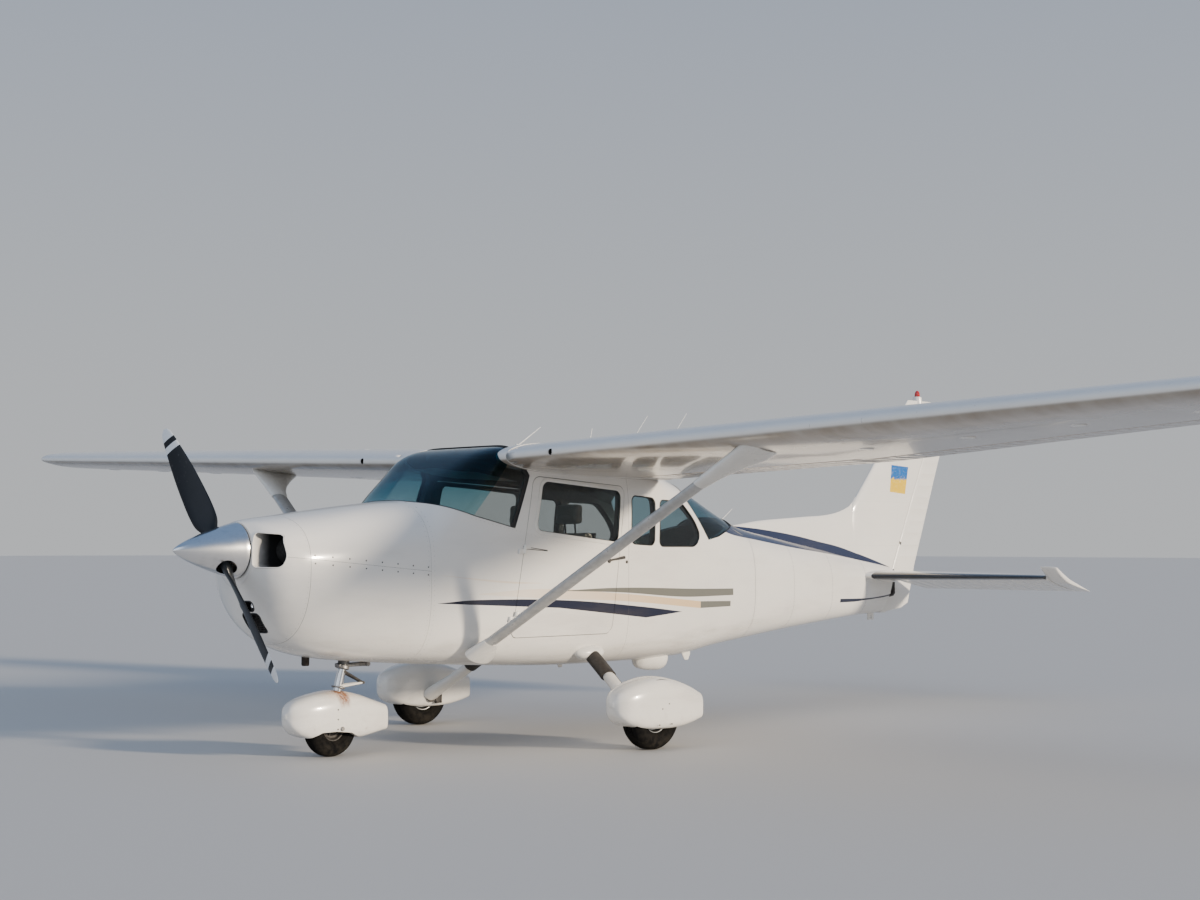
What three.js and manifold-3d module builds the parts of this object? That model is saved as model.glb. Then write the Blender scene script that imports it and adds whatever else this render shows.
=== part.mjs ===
// A four-seat, high-wing, single-engined light aircraft, parked on its three wheels.
// Millimetres. +X is forward, +Y is to the left (port) and +Z is up.
// The origin is on the ground, halfway along the length and on the centre line.

import * as THREE from 'three';
import { mergeVertices } from 'three/addons/utils/BufferGeometryUtils.js';
import Module from 'manifold-3d';

const wasm = await Module();
wasm.setup();
const { Manifold, Mesh } = wasm;

// Driving dimensions
const LENGTH = 8280;
const HALF_SPAN = 5500;
const NOSE_X = LENGTH / 2;
const SEAT_GAP = 0.3;
const RUN_GAP = 6;
const HINGE_PIN = 5;
const RAD = Math.PI / 180;

// Heights and stations; a station is the distance aft of the spinner's tip
const THRUST_Z = 1290;
const PROP_STATION = 317;
const PROP_LEAN = -39 * RAD;
const SPINNER_BASE = 425;
const SPINNER_RADIUS = 170;
const FIREWALL = 1565;
const CABIN_WALL = 45;
const COWL_WALL = 12;
const TAIL_WALL = 14;
const GLASS_INSET = 4;
const GLASS_THICK = 8;

// Undercarriage
const MAIN_STATION = 2875;
const MAIN_TRACK_HALF = 1160;
const MAIN_TYRE = { radius: 222.5, width: 160, rim: 100 };
const NOSE_STATION = 1160;
const NOSE_TYRE = { radius: 180, width: 126, rim: 82 };
const NOSE_RAKE = 14 * RAD;

const station = (aft) => NOSE_X - aft;
const at = (aft, y, z) => new THREE.Vector3(station(aft), y, z);

// Colours
const paint = (color, roughness = 0.3, metalness = 0) =>
  new THREE.MeshStandardMaterial({ color, roughness, metalness });
const WHITE = paint(0xf2f0ea);
const GREY_WHITE = paint(0xd9d9d6, 0.35);
const GLASS = new THREE.MeshStandardMaterial({
  color: 0x4b6b78, roughness: 0.05, transparent: true, opacity: 0.4,
});
const BLACK = paint(0x17181a, 0.45);
const RUBBER = paint(0x1b1b1c, 0.85);
const ALUMINIUM = paint(0xc9ccd0, 0.22, 1);
const STEEL = paint(0x5c5a57, 0.4, 0.8);
const IRON = paint(0x4a4a4c, 0.6, 0.6);
const CLOTH = paint(0x8d8880, 0.9);
const PANEL = paint(0x2c2d30, 0.7);
const RED = paint(0xb01818, 0.2);

// Smooth value of a table's column at a place between its rows
function columnAt(rows, place, column) {
  const last = rows.length - 1;
  let i = rows.findIndex((row) => row[0] > place) - 1;
  if (i < 0) i = place >= rows[last][0] ? last - 1 : 0;
  const slope = (k) => {
    const a = rows[Math.max(k - 1, 0)];
    const b = rows[Math.min(k + 1, last)];
    return (b[column] - a[column]) / (b[0] - a[0]);
  };
  const [p, q] = [rows[i], rows[i + 1]];
  const step = q[0] - p[0];
  const s = (place - p[0]) / step;
  const rise = q[column] - p[column];
  const c0 = slope(i) * step - rise;
  const c1 = -slope(i + 1) * step + rise;
  return p[column] + s * rise + s * (1 - s) * ((1 - s) * c0 + s * c1);
}

const rowAt = (rows, place) => [place, ...rows[0].slice(1).map((_, k) => columnAt(rows, place, k + 1))];

// Solids
function closedMesh(geometry) {
  const bare = geometry.clone();
  bare.deleteAttribute('normal');
  bare.deleteAttribute('uv');
  const merged = mergeVertices(bare, 1e-3);
  return merged;
}

function solid(geometry) {
  const merged = closedMesh(geometry);
  const position = merged.attributes.position;
  const index = Uint32Array.from(merged.index.array);
  let volume = 0;
  const [a, b, c] = [new THREE.Vector3(), new THREE.Vector3(), new THREE.Vector3()];
  for (let i = 0; i < index.length; i += 3) {
    a.fromBufferAttribute(position, index[i]);
    b.fromBufferAttribute(position, index[i + 1]);
    c.fromBufferAttribute(position, index[i + 2]);
    volume += a.dot(b.cross(c));
  }
  if (volume < 0) {
    for (let i = 0; i < index.length; i += 3) [index[i], index[i + 1]] = [index[i + 1], index[i]];
  }
  const mesh = new Mesh({ numProp: 3, vertProperties: Float32Array.from(position.array), triVerts: index });
  return new Manifold(mesh);
}

function largest(body) {
  return body.decompose().sort((p, q) => q.volume() - p.volume())[0];
}

function geometryOf(body) {
  const mesh = largest(body).getMesh();
  const geometry = new THREE.BufferGeometry();
  geometry.setAttribute('position', new THREE.BufferAttribute(Float32Array.from(mesh.vertProperties), 3));
  geometry.setIndex(new THREE.BufferAttribute(Uint32Array.from(mesh.triVerts), 1));
  return geometry;
}

const join = (...bodies) => bodies.reduce((sum, body) => sum.add(body));
const cut = (body, ...tools) => tools.reduce((rest, tool) => rest.subtract(tool), body);

// A closed skin through rings that all have the same number of points
function loft(rings) {
  const count = rings[0].length;
  const points = rings.flat();
  const faces = [];
  for (let r = 0; r + 1 < rings.length; r += 1) {
    for (let i = 0; i < count; i += 1) {
      const j = (i + 1) % count;
      const [p, q] = [r * count, (r + 1) * count];
      faces.push(p + i, p + j, q + j, p + i, q + j, q + i);
    }
  }
  for (const [ring, flip] of [[0, true], [rings.length - 1, false]]) {
    const middle = rings[ring].reduce((sum, p) => sum.add(p), new THREE.Vector3()).divideScalar(count);
    points.push(middle);
    const centre = points.length - 1;
    for (let i = 0; i < count; i += 1) {
      const [p, q] = [ring * count + i, ring * count + ((i + 1) % count)];
      faces.push(...(flip ? [q, p, centre] : [p, q, centre]));
    }
  }
  const geometry = new THREE.BufferGeometry().setFromPoints(points);
  geometry.setIndex(faces);
  return solid(geometry);
}

function cylinderBetween(from, to, radius, endRadius = radius, sides = 16) {
  const length = from.distanceTo(to);
  const geometry = new THREE.CylinderGeometry(endRadius, radius, length, sides);
  const along = to.clone().sub(from).normalize();
  const turn = new THREE.Quaternion().setFromUnitVectors(new THREE.Vector3(0, 1, 0), along);
  geometry.applyQuaternion(turn);
  const middle = from.clone().add(to).multiplyScalar(0.5);
  return solid(geometry.translate(middle.x, middle.y, middle.z));
}

// A box between any two opposite corners
function block(low, high) {
  const size = high.clone().sub(low);
  const middle = low.clone().add(high).multiplyScalar(0.5);
  const geometry = new THREE.BoxGeometry(Math.abs(size.x), Math.abs(size.y), Math.abs(size.z));
  return solid(geometry.translate(middle.x, middle.y, middle.z));
}

// A body seen from the side: corners are [station, z], each corner rounded
function sidePrism(corners, radius, lowY, highY) {
  const points = corners.map(([aft, z]) => new THREE.Vector2(station(aft), z));
  const shape = new THREE.Shape();
  points.forEach((corner, i) => {
    const before = points[(i + points.length - 1) % points.length];
    const after = points[(i + 1) % points.length];
    const enter = corner.clone().add(before.clone().sub(corner).setLength(radius || 1e-3));
    const leave = corner.clone().add(after.clone().sub(corner).setLength(radius || 1e-3));
    if (i === 0) shape.moveTo(enter.x, enter.y);
    else shape.lineTo(enter.x, enter.y);
    if (radius) shape.quadraticCurveTo(corner.x, corner.y, leave.x, leave.y);
    else shape.lineTo(corner.x, corner.y);
  });
  shape.closePath();
  const depth = highY - lowY;
  const geometry = new THREE.ExtrudeGeometry(shape, { depth, bevelEnabled: false, curveSegments: 3 });
  return solid(geometry.rotateX(Math.PI / 2).translate(0, highY, 0));
}

// The same outline with each of its sides moved inwards by a gap
function shrunk(corners, gap) {
  const points = corners.map(([aft, z]) => new THREE.Vector2(aft, z));
  const count = points.length;
  const way = Math.sign(THREE.ShapeUtils.area(points));
  const inwards = (i) => {
    const side = points[(i + 1) % count].clone().sub(points[i % count]).normalize();
    return new THREE.Vector2(-side.y, side.x).multiplyScalar(way);
  };
  return points.map((corner, i) => {
    const [a, b] = [inwards(i + count - 1), inwards(i)];
    const shift = a.clone().add(b).multiplyScalar(gap / (1 + a.dot(b)));
    return [corner.x + shift.x, corner.y + shift.y];
  });
}

// Fuselage. Columns: station, top, bottom, half width, height of the widest line, upper and lower roundness
const NOSE_ROWS = [
  [440, 1460, 1065, 188, 1277, 2.0, 2.0],
  [480, 1469, 965, 292, 1250, 2.2, 2.1],
  [540, 1479, 850, 362, 1225, 2.3, 2.2],
  [620, 1490, 765, 398, 1200, 2.4, 2.3],
  [740, 1505, 695, 424, 1180, 2.5, 2.4],
  [920, 1528, 640, 448, 1160, 2.6, 2.6],
  [1150, 1558, 605, 468, 1140, 2.7, 2.8],
  [1380, 1585, 585, 482, 1120, 2.8, 3.0],
  [1565, 1604, 570, 492, 1105, 2.9, 3.2],
];
const CABIN_ROWS = [
  [1565, 1604, 570, 492, 1105, 2.9, 3.2],
  [1620, 1614, 566, 495, 1100, 3.3, 3.3],
  [1760, 1726, 557, 503, 1100, 4.2, 3.5],
  [1900, 1828, 549, 512, 1100, 5.4, 3.7],
  [2060, 1930, 540, 521, 1100, 8.0, 4.0],
  [2200, 1976, 532, 527, 1100, 8.5, 4.2],
  [2400, 1992, 521, 532, 1100, 8.0, 4.4],
  [2800, 1996, 505, 535, 1100, 7.0, 4.6],
  [3200, 1968, 500, 530, 1100, 6.3, 4.6],
  [3500, 1925, 500, 518, 1095, 5.8, 4.4],
  [3780, 1868, 500, 500, 1085, 5.0, 4.2],
  [4200, 1752, 512, 452, 1065, 4.0, 3.8],
  [4600, 1605, 560, 402, 1040, 3.3, 3.4],
  [4950, 1482, 592, 362, 1020, 2.9, 3.0],
];
const TAIL_ROWS = [
  [4950, 1482, 592, 362, 1020, 2.9, 3.0],
  [5500, 1400, 645, 300, 1000, 2.6, 2.8],
  [6100, 1315, 695, 230, 985, 2.4, 2.6],
  [6700, 1225, 740, 155, 975, 2.2, 2.4],
  [7260, 1150, 760, 75, 960, 2.0, 2.2],
];
const RING_POINTS = 24;

function bodyRing([aft, top, bottom, halfWidth, widest, upper, lower], inset) {
  const ring = [];
  for (let i = 0; i < RING_POINTS; i += 1) {
    const angle = (2 * Math.PI * i) / RING_POINTS;
    const rising = Math.sin(angle) >= 0;
    const power = 2 / (rising ? upper : lower);
    const reach = rising ? top - inset - widest : widest - bottom - inset;
    const y = (halfWidth - inset) * Math.sign(Math.cos(angle)) * Math.abs(Math.cos(angle)) ** power;
    const z = widest + reach * Math.sign(Math.sin(angle)) * Math.abs(Math.sin(angle)) ** power;
    ring.push(at(aft, Math.abs(y) < 1e-6 ? 0 : y, z));
  }
  return ring;
}

function bodyLoft(rows, stations, inset = 0) {
  return loft(stations.map((place) => bodyRing(rowAt(rows, place), inset)));
}

const NOSE_STATIONS = [440, 456, 480, 508, 550, 610, 700, 830, 1035, 1265, 1565];
const CABIN_STATIONS = [1565.3, 1620, 1760, 1900, 2060, 2200, 2400, 2800, 3200, 3500, 3780, 4200, 4600, 4950];
const TAIL_STATIONS = [4950.3, 5500, 6100, 6700, 7260];

const within = (stations, from, to) => [from, ...stations.filter((place) => place > from && place < to), to];

// Aerofoils
function thicknessAt(f, ratio) {
  const rise = 0.2969 * Math.sqrt(f) - 0.126 * f - 0.3516 * f ** 2 + 0.2843 * f ** 3 - 0.1025 * f ** 4;
  return 5 * ratio * rise;
}

function camberAt(f, camber) {
  const peak = 0.4;
  if (f < peak) return (camber / peak ** 2) * (2 * peak * f - f * f);
  return (camber / (1 - peak) ** 2) * (1 - 2 * peak + 2 * peak * f - f * f);
}

// One section of a flying surface: leading edge, chord, thickness ratio, camber, nose-up tilt, upright or not
function section({ edge, chord, ratio, camber = 0, tilt = 0, upright = false, grow = 0 }) {
  const [sin, cos] = [Math.sin(tilt), Math.cos(tilt)];
  const aftways = upright ? new THREE.Vector3(-1, 0, 0) : new THREE.Vector3(-cos, 0, -sin);
  const outwards = upright ? new THREE.Vector3(0, 1, 0) : new THREE.Vector3(-sin, 0, cos);
  const place = (u, w) => edge.clone().addScaledVector(aftways, u).addScaledVector(outwards, w);
  const half = (f) => Math.max(thicknessAt(f, ratio) * chord, 1.5) + grow;
  const middle = (f) => camberAt(f, camber) * chord;
  return { chord, place, half, middle };
}

const FOIL_STEPS = [0.006, 0.025, 0.06, 0.12, 0.2, 0.32, 0.45, 0.6, 0.75, 0.88, 1];
const REAR_STEPS = [0.2, 0.45, 0.7, 1];
const NOSE_ARC = 8;

// Outline of a section between two fractions of its chord, with a round nose where it starts behind the edge
function foilRing(foil, from, to) {
  const steps = from === 0 ? FOIL_STEPS : REAR_STEPS;
  const upper = [];
  const lower = [];
  for (const f of steps.map((step) => from + step * (to - from))) {
    upper.push(foil.place(f * foil.chord, foil.middle(f) + foil.half(f)));
    lower.push(foil.place(f * foil.chord, foil.middle(f) - foil.half(f)));
  }
  const nose = [];
  if (from === 0) nose.push(foil.place(0, foil.middle(0)));
  else {
    const radius = foil.half(from);
    for (let i = 0; i <= NOSE_ARC; i += 1) {
      const angle = Math.PI * (0.5 + i / NOSE_ARC);
      const [u, w] = [radius * Math.cos(angle), radius * Math.sin(angle)];
      nose.push(foil.place(from * foil.chord + u, foil.middle(from) + w));
    }
  }
  return [...nose, ...lower, ...upper.reverse()];
}

// Wing. Columns: span place, leading edge station and height, chord, tilt in degrees, thickness ratio
const WING_ROOT_Y = 545;
const WING_ROWS = [
  [430, 2150, 1901, 1626, 3.7, 0.12],
  [545, 2150, 1905, 1626, 3.7, 0.12],
  [2500, 2150, 1974, 1626, 3.7, 0.12],
  [5330, 2125, 2072, 1196, 2.6, 0.12],
  [5440, 2135, 2080, 1150, 2.6, 0.105],
  [5488, 2165, 2084, 1060, 2.6, 0.075],
  [HALF_SPAN, 2210, 2086, 950, 2.6, 0.045],
];
const WING_CAMBER = 0.02;

function wingSection(y, side = 1, grow = 0) {
  const [, aft, z, chord, tilt, ratio] = rowLinear(WING_ROWS, y);
  return section({ edge: at(aft, side * y, z), chord, ratio, camber: WING_CAMBER, tilt: tilt * RAD, grow });
}

// Flap and aileron: inner and outer end, chord fraction of the hinge at each end
const FLAP = { inner: 620, outer: 2484, innerHinge: 0.77, outerHinge: 0.77 };
const AILERON = { inner: 2516, outer: 5060, innerHinge: 0.815, outerHinge: 0.79 };

function hingeFraction(surface, y) {
  const s = (y - surface.inner) / (surface.outer - surface.inner);
  return surface.innerHinge + s * (surface.outerHinge - surface.innerHinge);
}

function hingePoint(surface, y, side) {
  const foil = wingSection(y, side);
  const f = hingeFraction(surface, y);
  return foil.place(f * foil.chord, foil.middle(f));
}

// A flap or an aileron, with a stub at each end that runs on the wing's ribs
function movingWingPiece(surface, side) {
  const rings = [surface.inner, surface.outer].map((y) => {
    return foilRing(wingSection(y, side), hingeFraction(surface, y), 1);
  });
  const ends = [surface.inner, surface.outer].map((y) => hingePoint(surface, y, side));
  const along = ends[1].clone().sub(ends[0]).normalize();
  const slant = Math.tan(Math.acos(Math.abs(along.y)));
  const reach = (RUN_GAP - SEAT_GAP - HINGE_PIN * slant) / Math.abs(along.y);
  const stub = cylinderBetween(ends[0].addScaledVector(along, -reach), ends[1].addScaledVector(along, reach),
    HINGE_PIN, HINGE_PIN, 10);
  return join(loft(rings), stub);
}

// The room that a flap or an aileron needs in the wing
function movingWingRoom(surface, side) {
  const corners = (y) => {
    const foil = wingSection(y, side);
    const f = hingeFraction(surface, Math.min(Math.max(y, surface.inner), surface.outer));
    const front = f * foil.chord - foil.half(f) - RUN_GAP;
    return [[front, -300], [front, 300], [foil.chord + 300, 300], [foil.chord + 300, -300]]
      .map(([u, w]) => foil.place(u, w));
  };
  return loft([surface.inner - RUN_GAP, surface.outer + RUN_GAP].map(corners));
}

function wing(side) {
  const places = WING_ROWS.slice(1).map((row) => row[0]);
  places[0] += SEAT_GAP;
  const whole = loft(places.map((y) => foilRing(wingSection(y, side), 0, 1)));
  return cut(whole, movingWingRoom(FLAP, side), movingWingRoom(AILERON, side));
}

// The wing's root fairing beside the cabin roof, part of the cabin's shell
function wingRoot(side, grow = 0) {
  const places = [430 - grow, WING_ROOT_Y + grow];
  return loft(places.map((y) => {
    const foil = wingSection(Math.max(y, 430), side, grow);
    return foilRing(foil, 0, 1).map((p) => new THREE.Vector3(p.x, side * y, p.z));
  }));
}

// Strut
const STRUT_FOOT = [1950, 506, 640];
const STRUT_HEAD = [2335, 2370, 1866];
const STRUT = { chord: 122, thick: 52 };

function strut(side) {
  const [foot, head] = [STRUT_FOOT, STRUT_HEAD].map(([aft, y, z]) => at(aft, side * y, z));
  const along = head.clone().sub(foot).normalize();
  const aftways = new THREE.Vector3(-1, 0, 0).addScaledVector(along, along.x).normalize();
  const across = along.clone().cross(aftways);
  const ring = (middle, scale) => {
    const points = [];
    for (let i = 0; i < 16; i += 1) {
      const angle = (2 * Math.PI * i) / 16;
      const u = 0.5 * STRUT.chord * scale * Math.cos(angle);
      const w = 0.5 * STRUT.thick * scale * Math.sin(angle);
      points.push(middle.clone().addScaledVector(aftways, u).addScaledVector(across, w));
    }
    return points;
  };
  const length = foot.distanceTo(head);
  // Columns: place along the strut from its foot, scale of its section
  const ends = [[-40, 1.15], [60, 1.15], [130, 1]];
  const rows = [...ends, [length - 260, 1], [length - 120, 1.25], [length + 60, 1.5]];
  return loft(rows.map(([place, scale]) => ring(foot.clone().addScaledVector(along, place), scale)));
}

// Tail surfaces
const STAB_Z = 1072;
const STAB_HINGE = 7190;
const ELEVATOR_TUBE = 15;
const STAB_TIP = 1590;
const STAB_ROWS = [
  // span place, leading edge station, thickness ratio; both edges of the elevator are straight
  [0, 6640, 0.095],
  [1590, 7120, 0.085],
  [1725, 7160, 0.07],
];
const ELEVATOR = { inner: 135, outer: 1725, trailing: 7645, droop: 15 * RAD };

function stabSection(y, side = 1, grow = 0) {
  const row = rowLinear(STAB_ROWS, y);
  const edge = at(row[1] - grow, side * y, STAB_Z);
  return section({ edge, chord: ELEVATOR.trailing - row[1] + 2 * grow, ratio: row[2], grow });
}

function rowLinear(rows, place) {
  const found = rows.findIndex((row) => row[0] >= place);
  const i = found < 0 ? rows.length - 1 : Math.max(found, 1);
  const [low, high] = [rows[i - 1], rows[i]];
  const s = (place - low[0]) / (high[0] - low[0]);
  return low.map((value, k) => value + s * (high[k] - value));
}

const stabFraction = (foil, aft, y) => (aft - rowLinear(STAB_ROWS, y)[1]) / foil.chord;

function stabilizer(grow = 0) {
  const ring = (y) => {
    const foil = stabSection(Math.abs(y), Math.sign(y) || 1, grow);
    const hinge = stabFraction(foil, STAB_HINGE, Math.abs(y));
    const radius = foil.half(hinge);
    return foilRing(foil, 0, grow ? hinge : hinge - (radius + RUN_GAP) / foil.chord);
  };
  return loft([-STAB_TIP, 0, STAB_TIP].map(ring));
}

function elevator() {
  const half = (side) => {
    const ring = (y) => {
      const foil = stabSection(y, side);
      return foilRing(foil, stabFraction(foil, STAB_HINGE, y), 1);
    };
    const surface = loft([ELEVATOR.inner, STAB_TIP, ELEVATOR.outer].map(ring));
    const low = at(STAB_HINGE - 95, side * (STAB_TIP + RUN_GAP), STAB_Z - 13);
    const high = at(STAB_HINGE + 5, side * ELEVATOR.outer, STAB_Z + 13);
    return join(surface, block(low, high));
  };
  const tube = cylinderBetween(at(STAB_HINGE, -200, STAB_Z), at(STAB_HINGE, 200, STAB_Z), ELEVATOR_TUBE);
  return join(half(1), half(-1), tube);
}

// Fin and rudder. Columns: height, leading edge station, trailing edge station, thickness
const FIN_ROWS = [
  [1000, 6560, 7590, 96],
  [1158, 6600, 7640, 94],
  [1666, 6690, 7856, 88],
  [1983, 6985, 7990, 76],
  [2640, 7567, LENGTH, 52],
];
// The rudder's hinge is one straight line that leans aft
const RUDDER_HINGE = { station: 7215, z: 1000, lean: 0.509 };
const RUDDER_BRACKETS = { heights: [1350, 2250], thick: 12, half: 10, slot: 30 };
const FIN_TOP = 2625;
const RUDDER_TOP = 2640;
const RUDDER_BOTTOM = 750;
// What the rudder's foot lacks, seen from the side
const RUDDER_CORNER = [[7120, 700], [7700, 700], [7700, 985], [7650, 985], [7621, 889], [7563, 836], [7414, 786],
  [7150, 756]];

function finRow(z) {
  return rowLinear(FIN_ROWS, z);
}

function finSection(z) {
  const [, edge, trailing, thick] = finRow(z);
  const chord = trailing - edge;
  return section({ edge: at(edge, 0, z), chord, ratio: thick / chord, upright: true });
}

const hingeStation = (z) => RUDDER_HINGE.station + RUDDER_HINGE.lean * (z - RUDDER_HINGE.z);
const finFraction = (foil, z) => (hingeStation(z) - finRow(z)[1]) / foil.chord;

// The low ridge that runs from the rear window up to the fin. Columns: station, top, half width at its foot
const DORSAL_ROWS = [
  [4985, 1466, 8],
  [5200, 1496, 40],
  [5460, 1527, 46],
  [6000, 1562, 46],
  [6420, 1594, 44],
  [6680, 1668, 42],
  [6760, 1745, 40],
];

function fin() {
  const ring = (z) => {
    const foil = finSection(z);
    const hinge = finFraction(foil, z);
    return foilRing(foil, 0, hinge - (foil.half(hinge) + RUN_GAP) / foil.chord);
  };
  const panel = loft([1000, 1158, 1666, 1983, 2300, 2600, FIN_TOP].map(ring));
  const ridge = loft(DORSAL_ROWS.map(([aft, top, half]) => {
    const foot = columnAt(TAIL_ROWS, aft, 1) - 60;
    return [[half, foot], [half * 0.55, foot + 0.6 * (top - foot)], [half * 0.18, top - 4], [0, top],
      [-half * 0.18, top - 4], [-half * 0.55, foot + 0.6 * (top - foot)], [-half, foot]]
      .map(([y, z]) => at(aft, y, z));
  }));
  const cap = cylinderBetween(at(7712, 0, 2600), at(7712, 0, 2664), 42, 30);
  const { heights, thick, half } = RUDDER_BRACKETS;
  const brackets = heights.map((z) => {
    const corner = (aft, up) => {
      const lean = Math.atan(RUDDER_HINGE.lean);
      const place = new THREE.Vector2(aft, up).rotateAround(new THREE.Vector2(), -lean);
      return [hingeStation(z) + place.x, z + place.y];
    };
    const [front, back] = [-80, half + 2];
    const corners = [corner(front, -thick / 2), corner(back, -thick / 2), corner(back, thick / 2),
      corner(front, thick / 2)];
    return sidePrism(corners, 0, -half, half);
  });
  const bare = join(panel, ridge, cap, ...brackets);
  const bores = heights.map((z) => onRudderHinge(z, thick, HINGE_PIN + SEAT_GAP));
  return cut(bare, bodyLoft(TAIL_ROWS, [4940, ...TAIL_STATIONS.slice(1)], -SEAT_GAP), ...bores);
}

// A round bar on the rudder's hinge line, centred at a height
function onRudderHinge(z, reach, radius) {
  const ends = [z - reach, z + reach].map((height) => at(hingeStation(height), 0, height));
  return cylinderBetween(...ends, radius, radius, 10);
}

function rudder() {
  const ring = (z) => {
    const foil = finSection(z);
    return foilRing(foil, finFraction(foil, z), 1);
  };
  const whole = loft([RUDDER_BOTTOM, 1000, 1158, 1666, 1983, 2300, RUDDER_TOP].map(ring));
  // The lower corner is cut away in a slant, and the elevator's tube runs ahead of the nose
  const corner = sidePrism(RUDDER_CORNER, 0, -200, 200);
  const { heights, thick, slot } = RUDDER_BRACKETS;
  const slots = heights.map((z) => onRudderHinge(z, thick / 2 + RUN_GAP, slot));
  const pins = heights.map((z) => onRudderHinge(z, thick + RUN_GAP, HINGE_PIN));
  return join(cut(whole, corner, ...slots), ...pins);
}

// Beacon on the fin's cap
function beacon() {
  const profile = [[0, 0], [24, 0], [24, 20], [20, 38], [10, 52], [0, 56]];
  const geometry = new THREE.LatheGeometry(profile.map(([x, y]) => new THREE.Vector2(x, y)), 20);
  return solid(geometry.rotateX(Math.PI / 2).translate(station(7712), 0, 2664 + SEAT_GAP));
}

// Windows and doors, seen from the side. Corners are [station, z]
const WINDSHIELD_OUTLINE = [[1606, 1604], [1914, 1512], [2248, 1438], [2380, 1786], [2300, 1905], [2262, 2200],
  [1606, 2200]];
const REAR_WINDOW_OUTLINE = [[4080, 1660], [4228, 1482], [4315, 1370], [4463, 1394], [4760, 1480], [4760, 2200],
  [3985, 2200]];
const DOOR_OUTLINE = [[2222, 716], [2418, 1786], [3314, 1738], [3174, 716]];
const DOOR_WINDOW = [[2440, 1424], [2503, 1752], [3264, 1702], [3230, 1346]];
const QUARTER_WINDOWS = {
  front: [[3372, 1336], [3384, 1676], [3648, 1662], [3628, 1324]],
  rear: [[3684, 1318], [3704, 1652], [3990, 1644], [4128, 1520], [4203, 1402], [4140, 1318]],
};
const SIDE_REACH = { inner: 250, outer: 800 };
// The door's hinge line follows its front edge, just outside the skin
const DOOR_HINGE = { y: 543, heights: [860, 1300], half: 30, radius: 9, leaf: 48 };

const acrossCabin = (outline) => sidePrism(outline, 0, -800, 800);

function sideCut(outline, radius, side) {
  const [a, b] = [side * SIDE_REACH.inner, side * SIDE_REACH.outer];
  return sidePrism(outline, radius, Math.min(a, b), Math.max(a, b));
}

const cabinOuter = bodyLoft(CABIN_ROWS, CABIN_STATIONS);
const cabinInner = bodyLoft(CABIN_ROWS, within(CABIN_STATIONS, 1610, 4900), CABIN_WALL);
const glassSkin = cut(
  bodyLoft(CABIN_ROWS, within(CABIN_STATIONS, 1580, 4930), GLASS_INSET),
  bodyLoft(CABIN_ROWS, within(CABIN_STATIONS, 1580, 4930), GLASS_INSET + GLASS_THICK),
);

function doorEdge(z) {
  const [low, high] = DOOR_OUTLINE;
  return low[0] + ((high[0] - low[0]) * (z - low[1])) / (high[1] - low[1]);
}

// Half of each hinge: a knuckle on the hinge line and a leaf that goes forward to the post or aft to the door
function doorHinges(side, onDoor) {
  const { y, heights, half, radius, leaf } = DOOR_HINGE;
  const way = onDoor ? 1 : -1;
  const plate = (low, high, from, to, depth) => {
    const corners = [[doorEdge(low) + way * from, low], [doorEdge(low) + way * to, low],
      [doorEdge(high) + way * to, high], [doorEdge(high) + way * from, high]];
    const [a, b] = [side * (y - depth), side * (y + 3)];
    return sidePrism(corners, 0, Math.min(a, b), Math.max(a, b));
  };
  return join(...heights.map((z) => {
    const [low, high] = onDoor ? [z + SEAT_GAP, z + half] : [z - half, z];
    const ends = [low, high].map((height) => at(doorEdge(height), side * y, height));
    const knuckle = cylinderBetween(...ends, radius, radius, 10);
    const arm = plate(low + 3, high - 3, 1, 14, radius - 1);
    return join(knuckle, arm, plate(low + 2, high - 2, 10, leaf, 36));
  }));
}

function cabinShell() {
  const openings = [acrossCabin(WINDSHIELD_OUTLINE), acrossCabin(REAR_WINDOW_OUTLINE)];
  for (const side of [1, -1]) {
    openings.push(sideCut(DOOR_OUTLINE, 60, side));
    for (const pane of Object.values(QUARTER_WINDOWS)) openings.push(sideCut(pane, 45, side));
  }
  const body = join(cut(cabinOuter, ...openings), wingRoot(1), wingRoot(-1), legBulge(1), legBulge(-1));
  return join(cut(body, cabinInner), doorHinges(1, false), doorHinges(-1, false));
}

function pane(outline, radius, side) {
  return glassSkin.intersect(sideCut(shrunk(outline, SEAT_GAP), radius, side));
}

function windshield() {
  const glass = glassSkin.intersect(acrossCabin(shrunk(WINDSHIELD_OUTLINE, SEAT_GAP)));
  const roots = [1, -1].map((side) => wingRoot(side, SEAT_GAP));
  return cut(glass, ...roots, ...roots.map((root) => root.translate([SEAT_GAP, 0, 0])));
}

function door(side) {
  const wall = cut(cabinOuter, cabinInner);
  const leaf = wall.intersect(sideCut(shrunk(DOOR_OUTLINE, RUN_GAP + 1), 56, side));
  return join(cut(leaf, sideCut(DOOR_WINDOW, 50, side)), doorHinges(side, true));
}

// Cowling
const SPLIT = { front: [430, 1263], rear: [1575, 1159] };
// Air inlet seen from the front; corners are [y, z]
const INLET = [[176, 1190], [360, 1190], [308, 1394], [176, 1394]];
const NOSE_LEG_HOLE = 70;

function cowlShell() {
  const outer = bodyLoft(NOSE_ROWS, NOSE_STATIONS);
  const inner = bodyLoft(NOSE_ROWS, [...within(NOSE_STATIONS, 458, 1565), 1600], COWL_WALL);
  const shaftHole = cylinderBetween(at(400, 0, THRUST_Z), at(500, 0, THRUST_Z), 96);
  const inlets = [1, -1].map((side) => frontPrism(INLET, 42, side, 420, 720));
  const legHole = block(at(NOSE_STATION + 180, -NOSE_LEG_HOLE, 500), at(NOSE_STATION - 40, NOSE_LEG_HOLE, 700));
  return cut(outer, inner, shaftHole, ...inlets, legHole, exhaust(SEAT_GAP));
}

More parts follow.
